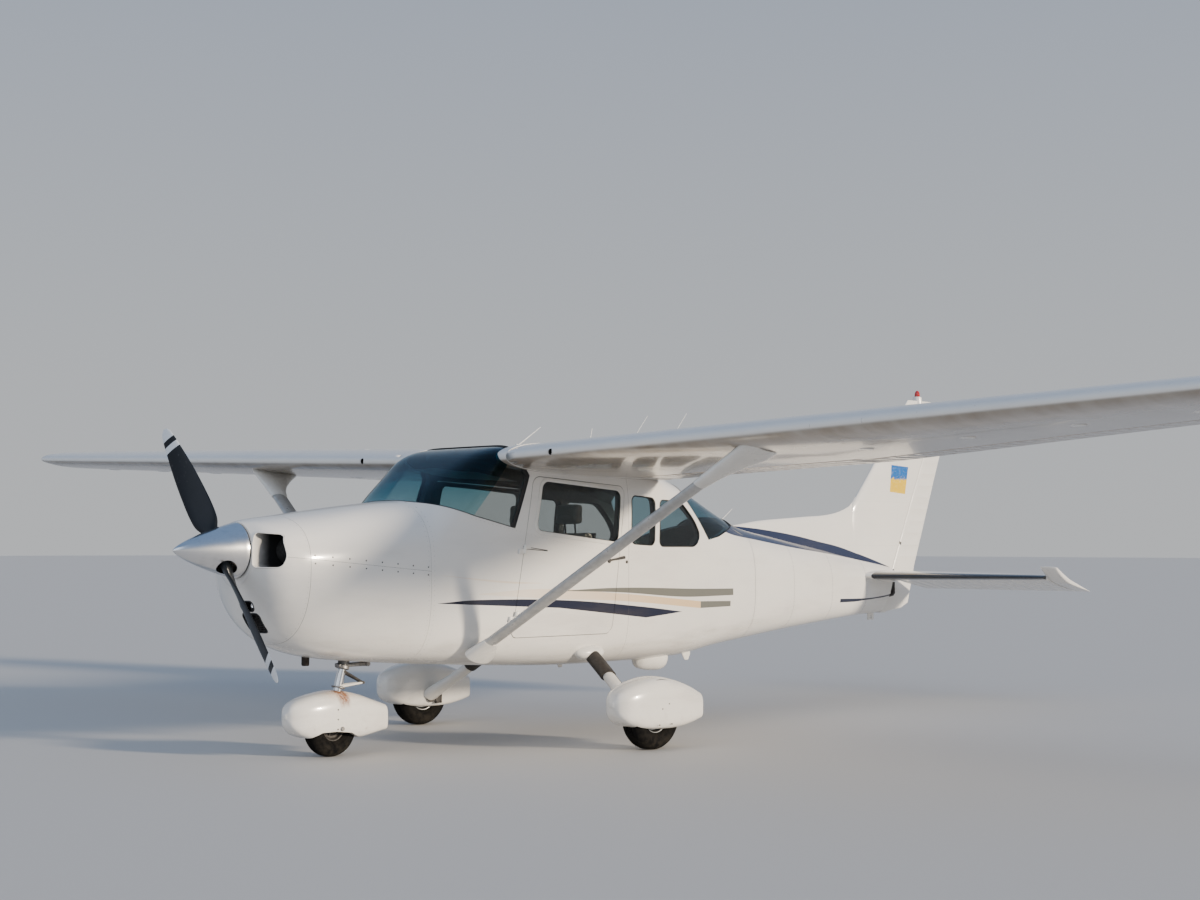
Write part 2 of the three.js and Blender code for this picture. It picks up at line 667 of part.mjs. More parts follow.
// A body seen from the front: corners are [y, z], each corner rounded
function frontPrism(corners, radius, side, fromStation, toStation) {
  const flat = corners.map(([y, z]) => new THREE.Vector2(side * y, z));
  const shape = new THREE.Shape();
  flat.forEach((corner, i) => {
    const before = flat[(i + flat.length - 1) % flat.length];
    const after = flat[(i + 1) % flat.length];
    const enter = corner.clone().add(before.clone().sub(corner).setLength(radius));
    const leave = corner.clone().add(after.clone().sub(corner).setLength(radius));
    if (i === 0) shape.moveTo(enter.x, enter.y);
    else shape.lineTo(enter.x, enter.y);
    shape.quadraticCurveTo(corner.x, corner.y, leave.x, leave.y);
  });
  shape.closePath();
  const depth = toStation - fromStation;
  const geometry = new THREE.ExtrudeGeometry(shape, { depth, bevelEnabled: false, curveSegments: 5 });
  geometry.rotateX(Math.PI / 2).rotateZ(Math.PI / 2);
  return solid(geometry.translate(station(toStation), 0, 0));
}

function cowlHalf(upper) {
  const gap = upper ? SEAT_GAP / 2 : -SEAT_GAP / 2;
  const far = upper ? 2000 : 200;
  const [front, rear] = [SPLIT.front, SPLIT.rear];
  const corners = [[front[0], front[1] + gap], [front[0], far], [rear[0], far], [rear[0], rear[1] + gap]];
  return cowlShell().intersect(sidePrism(corners, 0, -700, 700));
}

function exhaust(grow = 0) {
  return cylinderBetween(at(1017, -70, 568), at(1017, -70, 760), 25 + grow, 25 + grow, 16);
}

// The engine as one plain block at its real place, with its shaft and its mount on the firewall
function engineBlock() {
  const body = block(at(1330, -335, 985), at(670, 335, 1365));
  const shaft = cylinderBetween(at(SPINNER_BASE + SHAFT_REACH + SEAT_GAP, 0, THRUST_Z), at(680, 0, THRUST_Z), 58);
  const feet = [[220, 1030], [220, 1320], [-220, 1030], [-220, 1320]].map(([y, z]) => {
    return cylinderBetween(at(1320, y, z), at(FIREWALL, y, z), 14, 14, 12);
  });
  return join(body, shaft, ...feet);
}

// Propeller. Columns: radius, chord, thickness, blade angle in degrees
const BLADE_ROWS = [
  [40, 70, 68, 60],
  [150, 100, 54, 52],
  [200, 140, 42, 45],
  [260, 158, 33, 40],
  [380, 165, 24, 33],
  [600, 150, 16, 25],
  [800, 112, 11, 20],
  [920, 78, 8, 18],
  [950, 52, 6, 17.5],
  [962, 25, 5, 17.5],
  [965, 12, 4, 17.5],
];
const BLADE_POINTS = 10;
const HUB_RADIUS = 72;
const SHAFT_REACH = 20;

function blade() {
  return loft(BLADE_ROWS.map(([radius, chord, thick, angle]) => {
    const turn = angle * RAD;
    const ring = [];
    for (let i = 0; i < BLADE_POINTS; i += 1) {
      const a = (2 * Math.PI * i) / BLADE_POINTS;
      const [u, w] = [0.5 * chord * Math.cos(a), 0.5 * thick * Math.sin(a)];
      const [sin, cos] = [Math.sin(turn), Math.cos(turn)];
      ring.push(new THREE.Vector3(u * sin + w * cos, -u * cos + w * sin, radius));
    }
    return ring;
  }));
}

// Modelled about the shaft: +X forward, blades along Z, the blades' plane at X = 0
function propeller() {
  return join(blade(), blade().rotate([180, 0, 0]), propellerHub(HUB_RADIUS));
}

function propellerHub(radius) {
  const back = PROP_STATION - SPINNER_BASE - SHAFT_REACH;
  return cylinderBetween(new THREE.Vector3(back, 0, 0), new THREE.Vector3(80, 0, 0), radius);
}

function spinner() {
  const tip = PROP_STATION;
  const base = PROP_STATION - SPINNER_BASE;
  const wall = 6;
  const outer = [];
  const inner = [];
  const steps = 6;
  for (let i = 0; i <= steps; i += 1) {
    const s = (i / steps) ** 1.4;
    const radius = SPINNER_RADIUS * s ** 0.72 * (1 - 0.035 * s * s) / 0.965;
    outer.push(new THREE.Vector2(radius, tip - s * SPINNER_BASE));
    const depth = s * (SPINNER_BASE - 8) + 10 * (1 - s);
    if (i > 0) inner.push(new THREE.Vector2(Math.max(radius - wall, 0), tip - depth));
  }
  inner[0].x = 0;
  // The back plate closes the cone but for the hub's hole
  const plate = [new THREE.Vector2(0, base), new THREE.Vector2(0, base + 8)];
  const profile = [...outer, ...plate, ...inner.reverse()];
  profile[0].x = 0;
  const geometry = new THREE.LatheGeometry(profile, 24).rotateZ(-Math.PI / 2);
  const slots = [1, -1].map((way) => {
    return cylinderBetween(new THREE.Vector3(0, 0, way * 60), new THREE.Vector3(0, 0, way * 260), 62, 62, 12);
  });
  return cut(solid(geometry), propellerHub(HUB_RADIUS + SEAT_GAP), ...slots);
}

// Wheels, modelled about their axle along Y
const WHEEL_SIDES = 20;

function tyre({ radius, width, rim }) {
  const half = width / 2;
  const [middle, shoulder] = [(radius + rim) / 2, radius - 28];
  const points = [[rim, -half * 0.62], [middle, -half], [shoulder, -half * 0.92], [radius, -half * 0.4],
    [radius, half * 0.4], [shoulder, half * 0.92], [middle, half], [rim, half * 0.62]];
  const profile = [...points, points[0]].map(([r, y]) => new THREE.Vector2(r, y));
  return solid(new THREE.LatheGeometry(profile, WHEEL_SIDES));
}

function hub({ width, rim }, bore) {
  const half = width / 2;
  const outer = rim - SEAT_GAP;
  const [boss, web, lip] = [bore + 20, outer - 16, outer - 10];
  const points = [[bore, -half * 0.7], [boss, -half * 0.7], [web, -half * 0.3], [lip, -half * 0.62],
    [outer, -half * 0.62], [outer, half * 0.62], [lip, half * 0.62], [web, half * 0.3],
    [boss, half * 0.7], [bore, half * 0.7]];
  const profile = [...points, points[0]].map(([r, y]) => new THREE.Vector2(r, y));
  return solid(new THREE.LatheGeometry(profile, WHEEL_SIDES));
}

// Main gear leg: a round tapering steel tube with a white cuff and the axle. Columns: station, y, z, radius
const AXLE_RADIUS = 18;
const LEG_ROWS = [
  [3008, 430, 627, 36],
  [3000, 500, 578, 35],
  [2975, 640, 484, 32],
  [2950, 760, 402, 30],
  [2925, 860, 338, 31],
  [2888, 985, 260, 38],
  [2875, 1040, 222.5, 40],
];
// The smooth bulge on the fuselage where the leg goes in
const LEG_BULGE = { station: 2998, y: 478, z: 592, radii: [130, 62, 50] };

function legBulge(side, grow = 0) {
  const radii = LEG_BULGE.radii.map((radius) => radius + grow);
  const geometry = new THREE.SphereGeometry(1, 20, 12).scale(...radii);
  const middle = at(LEG_BULGE.station, side * LEG_BULGE.y, LEG_BULGE.z);
  return solid(geometry.translate(middle.x, middle.y, middle.z));
}

function mainLeg(side, grow = 0) {
  const rings = LEG_ROWS.map(([aft, y, z, radius], i) => {
    const before = LEG_ROWS[Math.max(i - 1, 0)];
    const after = LEG_ROWS[Math.min(i + 1, LEG_ROWS.length - 1)];
    const along = new THREE.Vector3(before[0] - after[0], after[1] - before[1], after[2] - before[2]).normalize();
    const fore = new THREE.Vector3(1, 0, 0).addScaledVector(along, -along.x).normalize();
    const up = fore.clone().cross(along);
    const ring = [];
    for (let k = 0; k < 14; k += 1) {
      const angle = (2 * Math.PI * k) / 14;
      const reach = radius + grow;
      const outwards = y + (after === LEG_ROWS[i] ? grow : 0);
      const point = at(aft, outwards, z).addScaledVector(fore, reach * Math.cos(angle))
        .addScaledVector(up, reach * Math.sin(angle));
      ring.push(new THREE.Vector3(point.x, side * point.y, point.z));
    }
    return ring;
  });
  const z = MAIN_TYRE.radius;
  const reach = MAIN_TRACK_HALF + 70 + grow;
  const [from, to] = [1030, reach].map((y) => at(MAIN_STATION, side * y, z));
  const bare = join(loft(rings), cylinderBetween(from, to, AXLE_RADIUS + grow));
  return grow ? bare : cut(bare, bodyLoft(CABIN_ROWS, CABIN_STATIONS, -SEAT_GAP), legBulge(side, SEAT_GAP));
}

// Wheel fairing. Columns: station from the axle, half width, top, bottom
const MAIN_PANT_ROWS = [
  [-372, 22, 330, 290],
  [-355, 60, 372, 240],
  [-300, 98, 410, 190],
  [-180, 126, 450, 150],
  [0, 136, 473, 134],
  [170, 128, 445, 134],
  [320, 104, 400, 152],
  [440, 74, 350, 176],
];
const NOSE_PANT_ROWS = [
  [-350, 20, 290, 250],
  [-332, 54, 330, 205],
  [-270, 90, 366, 150],
  [-150, 118, 396, 118],
  [20, 128, 412, 110],
  [172, 120, 384, 111],
  [300, 98, 342, 128],
  [410, 70, 306, 144],
];
// The arch in the bottom edge of the nose fairing's sides; corners are [station, z]
const NOSE_PANT_ARCH = [[938, 60], [938, 128], [1018, 164], [1122, 165], [1236, 152], [1332, 111], [1332, 60]];
const PANT_POINTS = 24;
const PANT_ROUNDNESS = { upper: 3, lower: 5 };

function pantLoft(rows, axleStation, y) {
  return loft(rows.map(([aft, half, top, bottom]) => {
    const ring = [];
    const middle = (top + bottom) / 2;
    for (let i = 0; i < PANT_POINTS; i += 1) {
      const angle = (2 * Math.PI * i) / PANT_POINTS;
      const power = 2 / (Math.sin(angle) < 0 ? PANT_ROUNDNESS.lower : PANT_ROUNDNESS.upper);
      const u = half * Math.sign(Math.cos(angle)) * Math.abs(Math.cos(angle)) ** power;
      const w = ((top - bottom) / 2) * Math.sign(Math.sin(angle)) * Math.abs(Math.sin(angle)) ** power;
      ring.push(at(axleStation + aft, y + u, middle + w));
    }
    return ring;
  }));
}

function wheelRoom({ radius, width }, aft, y, spare) {
  const half = width / 2 + spare;
  return cylinderBetween(at(aft, y - half, radius), at(aft, y + half, radius), radius + spare, radius + spare, 24);
}

function mainPant(side) {
  const y = side * MAIN_TRACK_HALF;
  const shell = pantLoft(MAIN_PANT_ROWS, MAIN_STATION, y);
  const room = wheelRoom(MAIN_TYRE, MAIN_STATION, y, 12);
  return cut(shell, room, mainLeg(side, 2 * SEAT_GAP));
}

// Nose gear: the steering line leans back at its top and runs through the axle
const steerUp = new THREE.Vector3(-Math.sin(NOSE_RAKE), 0, Math.cos(NOSE_RAKE));
const noseAxle = at(NOSE_STATION, 0, NOSE_TYRE.radius);
const onSteerLine = (distance) => noseAxle.clone().addScaledVector(steerUp, distance);
const STEER_SPLIT = 372;
// Fork: places of its crown and flange along the steering line, and its arms' distance from the centre
const FORK = { crown: 205, flange: 250, armY: 81 };
// The axle's ends stand out of the fairing, for a tow bar
const TOW_REACH = 137;

function noseStrut() {
  const tube = cylinderBetween(onSteerLine(STEER_SPLIT + SEAT_GAP), onSteerLine(640), 34);
  const collar = cylinderBetween(onSteerLine(STEER_SPLIT + SEAT_GAP), onSteerLine(STEER_SPLIT + 26), 44);
  const top = onSteerLine(600);
  const [low, high] = [[station(FIREWALL), -60, top.z - 90], [top.x + 20, 60, top.z + 30]];
  const bracket = block(new THREE.Vector3(...low), new THREE.Vector3(...high));
  const damper = block(at(1450, -26, 553), at(1210, 26, 578));
  return join(tube, collar, bracket, damper);
}

function noseFork(grow = 0) {
  const piston = cylinderBetween(onSteerLine(FORK.crown), onSteerLine(STEER_SPLIT), 27 + grow);
  const flange = cylinderBetween(onSteerLine(FORK.flange), onSteerLine(FORK.flange + 9), 44 + grow);
  const reachOfCrown = new THREE.Vector3(30 + grow, FORK.armY - 2 + grow, 12 + grow);
  const crownMiddle = onSteerLine(FORK.crown);
  const crown = block(crownMiddle.clone().sub(reachOfCrown), crownMiddle.clone().add(reachOfCrown));
  const arms = [1, -1].map((side) => {
    const top = onSteerLine(FORK.crown).setY(side * FORK.armY);
    return cylinderBetween(top, noseAxle.clone().setY(side * FORK.armY), 11 + grow, 12 + grow, 16);
  });
  const reach = TOW_REACH + grow;
  const axle = cylinderBetween(noseAxle.clone().setY(-reach), noseAxle.clone().setY(reach), 14 + grow);
  const link = torqueLink();
  return join(piston, flange, crown, ...arms, axle, link);
}

// Torque link behind the leg, on the steered side
function torqueLink() {
  const low = onSteerLine(262);
  const apex = at(1414, 0, 448);
  const high = onSteerLine(STEER_SPLIT - 14);
  return join(cylinderBetween(low, apex, 10, 8, 10), cylinderBetween(high, apex, 9, 8, 10));
}

function nosePant() {
  const shell = pantLoft(NOSE_PANT_ROWS, NOSE_STATION, 0);
  const room = wheelRoom(NOSE_TYRE, NOSE_STATION, 0, 10);
  const arch = sidePrism(NOSE_PANT_ARCH, 0, -300, 300);
  return cut(shell, room, arch, noseFork(SEAT_GAP));
}

// Cabin furniture
const SEAT_Y = 236;
const SEAT_HALF = 215;

function instrumentPanel() {
  const outline = [[1930, 1130], [1990, 1130], [1960, 1465], [2010, 1500], [1700, 1545], [1700, 1500],
    [1900, 1470]];
  const face = sidePrism(outline, 0, -600, 600);
  const room = bodyLoft(CABIN_ROWS, within(CABIN_STATIONS, 1615, 4500), CABIN_WALL + SEAT_GAP);
  const yokes = [1, -1].map((side) => {
    const y = side * SEAT_Y;
    const shaft = cylinderBetween(at(1950, y, 1290), at(2190, y, 1290), 13, 13, 12);
    const bar = cylinderBetween(at(2190, y - 130, 1290), at(2190, y + 130, 1290), 15, 15, 12);
    const horns = [-1, 1].map((way) => {
      return cylinderBetween(at(2190, y + way * 125, 1285), at(2190, y + way * 140, 1380), 15, 14, 12);
    });
    return join(shaft, bar, ...horns);
  });
  return join(face.intersect(room), ...yokes);
}

// Seat seen from the side: cushion, back and a base that reaches the floor. Corners are [station, z]
const FRONT_SEAT = [[2560, 585], [2560, 800], [2500, 830], [2500, 925], [2900, 905], [3010, 1440], [3120, 1430],
  [3030, 820], [2960, 800], [2960, 585]];
const REAR_SEAT = [[3480, 600], [3480, 830], [3460, 930], [3830, 910], [3960, 1330], [4060, 1320], [3980, 860],
  [3930, 600]];

function seat(outline, lowY, highY) {
  const room = bodyLoft(CABIN_ROWS, within(CABIN_STATIONS, 1615, 4880), CABIN_WALL + SEAT_GAP);
  const deep = outline.map(([aft, z]) => [aft, z < 610 ? 480 : z]);
  return sidePrism(deep, 0, lowY, highY).intersect(room);
}

// Aerials on the roof and the tail. Columns: station, y, skin height, lean aft, rise, radius
const AERIALS = {
  aerial_front: [2575, 200, 1992, 225, 150, 5],
  aerial_middle: [3405, 60, 1940, 50, 231, 5],
  aerial_rear_left: [3920, 200, 1832, 415, 490, 4],
  aerial_rear_right: [3920, -200, 1832, 415, 490, 4],
  aerial_tail: [4930, 0, 1487, 180, 130, 5],
};
const AERIAL_FOOT = { depth: 35, height: 22, radius: 14, neck: 9 };

function aerial([aft, y, z, lean, rise, radius]) {
  const foot = cylinderBetween(at(aft, y, z - AERIAL_FOOT.depth), at(aft, y, z + AERIAL_FOOT.height),
    AERIAL_FOOT.radius, AERIAL_FOOT.neck, 12);
  const rod = cylinderBetween(at(aft, y, z + 12), at(aft + lean, y, z + rise), radius, radius, 8);
  return cut(join(foot, rod), bodyLoft(CABIN_ROWS, CABIN_STATIONS, -SEAT_GAP));
}

function bellyFairing() {
  const rows = [[3760, 20, 40], [3800, 60, 75], [3920, 90, 95], [4040, 80, 90], [4100, 20, 45]];
  const rings = rows.map(([aft, half, drop]) => {
    const ring = [];
    for (let i = 0; i < 16; i += 1) {
      const angle = (2 * Math.PI * i) / 16;
      ring.push(at(aft, 190 + half * Math.cos(angle), 510 + drop * Math.sin(angle)));
    }
    return ring;
  });
  return cut(loft(rings), bodyLoft(CABIN_ROWS, CABIN_STATIONS, -SEAT_GAP));
}

// Tail cone with its tie-down lug; its end follows the rudder's hinge line
function tailCone() {
  const outer = bodyLoft(TAIL_ROWS, TAIL_STATIONS);
  const inner = bodyLoft(TAIL_ROWS, [4900, ...within(TAIL_STATIONS, 4955, 6900)], TAIL_WALL);
  const lug = block(at(7010, -9, 690), at(6930, 9, 800));
  const end = sidePrism([hingeBehind(700), hingeBehind(1300), [7500, 1300], [7500, 700]], 0, -400, 400);
  // A plate on the centre line carries the elevator's tube
  const plateHalf = 8;
  const tubeRoom = [1, -1].map((side) => {
    return block(at(7400, side * plateHalf, STAB_Z - 26), at(STAB_HINGE - 26, side * 400, STAB_Z + 26));
  });
  const ends = [-20, 20].map((y) => at(STAB_HINGE, y, STAB_Z));
  const bearing = cylinderBetween(...ends, ELEVATOR_TUBE + SEAT_GAP);
  return cut(join(outer, lug), inner, end, ...tubeRoom, bearing, stabilizer(SEAT_GAP));
}

function hingeBehind(z) {
  const foil = finSection(z);
  return [hingeStation(z) - foil.half(finFraction(foil, z)) - RUN_GAP, z];
}

// The scene graph
const aircraft = new THREE.Group();

function add(name, body, material, parent = aircraft) {
  const mesh = new THREE.Mesh(geometryOf(body), material);
  mesh.name = name;
  parent.add(mesh);
  return mesh;
}

function addFuselage() {
  add('cabin_shell', cabinShell(), WHITE);
  add('tail_cone', tailCone(), WHITE);
  add('cowl_upper', cowlHalf(true), WHITE);
  add('cowl_lower', cowlHalf(false), WHITE);
  add('engine_block', engineBlock(), IRON);
  add('exhaust_pipe', exhaust(), STEEL);
  add('windshield', windshield(), GLASS);
  add('rear_window', glassSkin.intersect(acrossCabin(shrunk(REAR_WINDOW_OUTLINE, SEAT_GAP))), GLASS);
  add('belly_fairing', bellyFairing(), WHITE);
  for (const [name, row] of Object.entries(AERIALS)) add(name, aerial(row), GREY_WHITE);
}

function addCabinFurniture() {
  add('instrument_panel', instrumentPanel(), PANEL);
  add('front_seat_left', seat(FRONT_SEAT, SEAT_Y - SEAT_HALF, SEAT_Y + SEAT_HALF), CLOTH);
  add('front_seat_right', seat(FRONT_SEAT, -SEAT_Y - SEAT_HALF, -SEAT_Y + SEAT_HALF), CLOTH);
  add('rear_bench', seat(REAR_SEAT, -430, 430), CLOTH);
}

function addTail() {
  add('fin', fin(), WHITE);
  add('beacon', beacon(), RED);
  add('rudder', rudder(), WHITE);
  add('stabilizer', stabilizer(), WHITE);
  const pivot = new THREE.Group();
  pivot.position.copy(at(STAB_HINGE, 0, STAB_Z));
  pivot.rotation.y = -ELEVATOR.droop;
  aircraft.add(pivot);
  const mesh = add('elevator', elevator(), WHITE, pivot);
  mesh.position.copy(at(STAB_HINGE, 0, STAB_Z)).negate();
}

function addSide(side, suffix) {
  add(`wing_${suffix}`, wing(side), WHITE);
  add(`flap_${suffix}`, movingWingPiece(FLAP, side), WHITE);
  add(`aileron_${suffix}`, movingWingPiece(AILERON, side), WHITE);
  const strutBody = cut(strut(side), bodyLoft(CABIN_ROWS, CABIN_STATIONS, -SEAT_GAP), grownWing(side));
  add(`strut_${suffix}`, strutBody, GREY_WHITE);
  add(`door_${suffix}`, door(side), WHITE);
  add(`door_window_${suffix}`, pane(DOOR_WINDOW, 50, side), GLASS);
  add(`quarter_window_front_${suffix}`, pane(QUARTER_WINDOWS.front, 45, side), GLASS);
  add(`quarter_window_rear_${suffix}`, pane(QUARTER_WINDOWS.rear, 45, side), GLASS);
  add(`main_leg_${suffix}`, mainLeg(side), STEEL);
  add(`main_pant_${suffix}`, mainPant(side), WHITE);
  const wheel = new THREE.Group();
  wheel.position.copy(at(MAIN_STATION, side * MAIN_TRACK_HALF, MAIN_TYRE.radius));
  aircraft.add(wheel);
  add(`main_tyre_${suffix}`, tyre(MAIN_TYRE), RUBBER, wheel);
  add(`main_hub_${suffix}`, hub(MAIN_TYRE, AXLE_RADIUS + 0.5), ALUMINIUM, wheel);
}

// The wing's inner part a hair larger, so that the strut's head ends just under it
function grownWing(side) {
  const places = [1800, 2540, 3000];
  return loft(places.map((y) => foilRing(wingSection(y, side, SEAT_GAP), 0, 1)));
}

function addNoseGear() {
  add('nose_strut', noseStrut(), STEEL);
  add('nose_fork', noseFork(), STEEL);
  add('nose_pant', nosePant(), WHITE);
  const wheel = new THREE.Group();
  wheel.position.copy(noseAxle);
  aircraft.add(wheel);
  add('nose_tyre', tyre(NOSE_TYRE), RUBBER, wheel);
  add('nose_hub', hub(NOSE_TYRE, 14.5), ALUMINIUM, wheel);
}

function addPropeller() {
  const disc = new THREE.Group();
  disc.position.copy(at(PROP_STATION, 0, THRUST_Z));
  disc.rotation.x = -PROP_LEAN;
  aircraft.add(disc);
  add('propeller', propeller(), BLACK, disc);
  add('spinner', spinner(), ALUMINIUM, disc);
}

addFuselage();
addCabinFurniture();
addTail();
addSide(1, 'left');
addSide(-1, 'right');
addNoseGear();
addPropeller();

export default aircraft;
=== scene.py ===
import math
from contextlib import contextmanager

import bpy
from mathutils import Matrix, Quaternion, Vector


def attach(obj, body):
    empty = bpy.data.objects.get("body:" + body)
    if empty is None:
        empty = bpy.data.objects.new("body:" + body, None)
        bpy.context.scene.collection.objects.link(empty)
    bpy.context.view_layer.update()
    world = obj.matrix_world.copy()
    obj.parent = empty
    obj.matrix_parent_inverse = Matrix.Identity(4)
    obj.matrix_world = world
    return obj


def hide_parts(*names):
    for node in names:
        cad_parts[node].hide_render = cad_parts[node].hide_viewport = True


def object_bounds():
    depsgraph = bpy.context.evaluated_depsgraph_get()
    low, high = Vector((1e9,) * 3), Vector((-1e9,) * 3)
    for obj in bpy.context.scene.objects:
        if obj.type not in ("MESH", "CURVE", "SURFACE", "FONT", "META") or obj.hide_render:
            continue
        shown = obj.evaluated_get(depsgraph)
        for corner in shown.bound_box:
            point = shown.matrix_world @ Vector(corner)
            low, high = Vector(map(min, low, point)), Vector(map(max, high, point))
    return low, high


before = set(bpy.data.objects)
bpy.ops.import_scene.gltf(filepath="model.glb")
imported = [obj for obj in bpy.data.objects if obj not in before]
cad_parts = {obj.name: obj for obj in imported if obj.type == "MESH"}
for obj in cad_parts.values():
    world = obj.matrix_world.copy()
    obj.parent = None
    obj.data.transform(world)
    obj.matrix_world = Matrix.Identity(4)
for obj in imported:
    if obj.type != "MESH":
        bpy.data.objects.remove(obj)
CAD_BOX = [list(corner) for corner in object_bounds()]

# Lengths in the tables are millimetres, and a station is the distance aft of the spinner's tip
MM = 0.001
NOSE_X = CAD_BOX[1][0]
HALF_SPAN = CAD_BOX[1][1] / MM
THRUST_Z = 1290


def at(aft, y, z):
    return Vector((NOSE_X - aft * MM, y * MM, z * MM))


# Selecting and modelling
def settle():
    bpy.ops.object.transform_apply(location=True, rotation=True, scale=True)


def alone(piece):
    bpy.ops.object.select_all(action="DESELECT")
    piece.select_set(True)
    bpy.context.view_layer.objects.active = piece
    return piece


# Edit mode with all of a piece selected
@contextmanager
def editing(piece, kind="VERT"):
    alone(piece)
    bpy.ops.object.mode_set(mode="EDIT")
    bpy.ops.mesh.select_mode(type=kind)
    bpy.ops.mesh.select_all(action="SELECT")
    yield
    bpy.ops.object.mode_set(mode="OBJECT")


# Selects the vertices, edges or polygons that pass a test, for the next edit
def choose(piece, kind, test):
    mesh = piece.data
    for items in (mesh.vertices, mesh.edges, mesh.polygons):
        items.foreach_set("select", [False] * len(items))
    for item in getattr(mesh, kind):
        item.select = test(item)
    modes = ("vertices", "edges", "polygons")
    bpy.context.tool_settings.mesh_select_mode = [kind == mode for mode in modes]


def delete_faces(piece, test):
    choose(piece, "polygons", test)
    alone(piece)
    bpy.ops.object.mode_set(mode="EDIT")
    bpy.ops.mesh.delete(type="FACE")
    bpy.ops.object.mode_set(mode="OBJECT")


def add(name, primitive, **size):
    bpy.ops.object.select_all(action="DESELECT")
    primitive(**size)
    piece = bpy.context.object
    piece.name = name
    piece.data.name = name
    settle()
    return piece


def modify(piece, kind, **settings):
    alone(piece)
    bpy.ops.object.modifier_add(type=kind)
    modifier = piece.modifiers[-1]
    for key, value in settings.items():
        setattr(modifier, key, value)
    bpy.ops.object.modifier_apply(modifier=modifier.name)
    return piece


def twin(piece, name):
    alone(piece)
    bpy.ops.object.duplicate()
    copy = bpy.context.object
    copy.name = name
    copy.data.name = name
    return copy


def merged(name, *pieces):
    alone(pieces[0])
    for piece in pieces:
        piece.select_set(True)
    if len(pieces) > 1:
        bpy.ops.object.join()
    pieces[0].name = name
    pieces[0].data.name = name
    return pieces[0]


def drop(*pieces):
    for piece in pieces:
        bpy.data.objects.remove(piece)


def outwards(piece):
    with editing(piece):
        bpy.ops.mesh.normals_make_consistent(inside=False)
    return piece


def soften(piece, angle=30):
    alone(piece)
    bpy.ops.object.shade_smooth_by_angle(angle=math.radians(angle))
    return piece


def mirrored(piece, name):
    copy = twin(piece, name)
    bpy.ops.transform.mirror(constraint_axis=(False, True, False))
    settle()
    return outwards(copy)


# Cosine and sine of places all round a circle
def circle(count):
    turns = [2 * math.pi * k / count for k in range(count)]
    return [(math.cos(turn), math.sin(turn)) for turn in turns]


# A circle drawn out ring by ring, whose rings are then laid on their own points
def loft(name, rings, angle=30):
    count = len(rings[0])
    piece = add(name, bpy.ops.mesh.primitive_circle_add, vertices=count, radius=1)
    with editing(piece):
        for _ in rings[1:]:
            bpy.ops.mesh.extrude_region_move(TRANSFORM_OT_translate={"value": (0, 0, 1)})
    for vertex in piece.data.vertices:
        turn = math.atan2(vertex.co.y, vertex.co.x) / (2 * math.pi)
        vertex.co = rings[round(vertex.co.z)][round(turn * count) % count]
    with editing(piece):
        bpy.ops.mesh.fill_holes(sides=0)
        bpy.ops.mesh.select_all(action="SELECT")
        bpy.ops.mesh.normals_make_consistent(inside=False)
    return soften(piece, angle)


# A closed profile of [radius, reach along the axis], spun about the axis from a point
def turned(name, profile, origin, axis, steps=48, angle=30):
    along = Vector(axis).normalized()
    out = along.orthogonal().normalized()
    piece = add(name, bpy.ops.mesh.primitive_circle_add, vertices=len(profile), radius=1)
    for vertex, (radius, reach) in zip(piece.data.vertices, profile):
        vertex.co = origin + out * (radius * MM) + along * (reach * MM)
    with editing(piece):
        bpy.ops.mesh.spin(steps=steps, angle=2 * math.pi, center=origin, axis=along)
        bpy.ops.mesh.select_all(action="SELECT")
        bpy.ops.mesh.remove_doubles(threshold=1e-5)
        bpy.ops.mesh.delete_loose()
        bpy.ops.mesh.select_all(action="SELECT")
        bpy.ops.mesh.normals_make_consistent(inside=False)
    return soften(piece, angle)


# A round bar through points, with a radius at each
def tube(name, points, radii, sides=16, angle=50):
    rings = []
    side = None
    for i, point in enumerate(points):
        along = (points[min(i + 1, len(points) - 1)] - points[max(i - 1, 0)]).normalized()
        side = (side - along * side.dot(along)).normalized() if side else along.orthogonal().normalized()
        up = along.cross(side)
        rings.append([point + (side * c + up * s) * (radii[i] * MM) for c, s in circle(sides)])
    return loft(name, rings, angle)


def bar(name, start, end, radius, end_radius=None, sides=16):
    return tube(name, [start, end], [radius, radius if end_radius is None else end_radius], sides)


# A block between two corners, with rounded edges
def block(name, low, high, bevel=0, segments=3):
    size = [abs(v) for v in Vector(high) - Vector(low)]
    middle = (Vector(high) + Vector(low)) / 2
    piece = add(name, bpy.ops.mesh.primitive_cube_add, size=1, location=middle, scale=size)
    if bevel:
        with editing(piece, "EDGE"):
            bpy.ops.mesh.select_all(action="SELECT")
            bpy.ops.mesh.bevel(offset=bevel * MM, segments=segments, affect="EDGES")
    return soften(piece)


# A flat outline with rounded corners, drawn out by a depth; its points are vectors
def prism(name, corners, depth, radius=0, segments=8):
    piece = add(name, bpy.ops.mesh.primitive_circle_add, vertices=len(corners), radius=1, fill_type="NGON")
    for vertex, corner in zip(piece.data.vertices, corners):
        vertex.co = corner
    with editing(piece):
        if radius:
            bpy.ops.mesh.bevel(offset=radius * MM, segments=segments, affect="VERTICES")
        bpy.ops.mesh.select_all(action="SELECT")
        bpy.ops.mesh.extrude_region_move(TRANSFORM_OT_translate={"value": depth})
        bpy.ops.mesh.select_all(action="SELECT")
        bpy.ops.mesh.normals_make_consistent(inside=False)
    return piece


# The same, seen from the side: corners are [station, z], between two places across
def side_prism(name, corners, low_y, high_y, radius=0):
    points = [at(aft, low_y, z) for aft, z in corners]
    return prism(name, points, (0, (high_y - low_y) * MM, 0), radius)


# The same, seen from the front: corners are [y, z], between two stations
def front_prism(name, corners, front, rear, radius=0):
    points = [at(front, y, z) for y, z in corners]
    return prism(name, points, ((front - rear) * MM, 0, 0), radius)


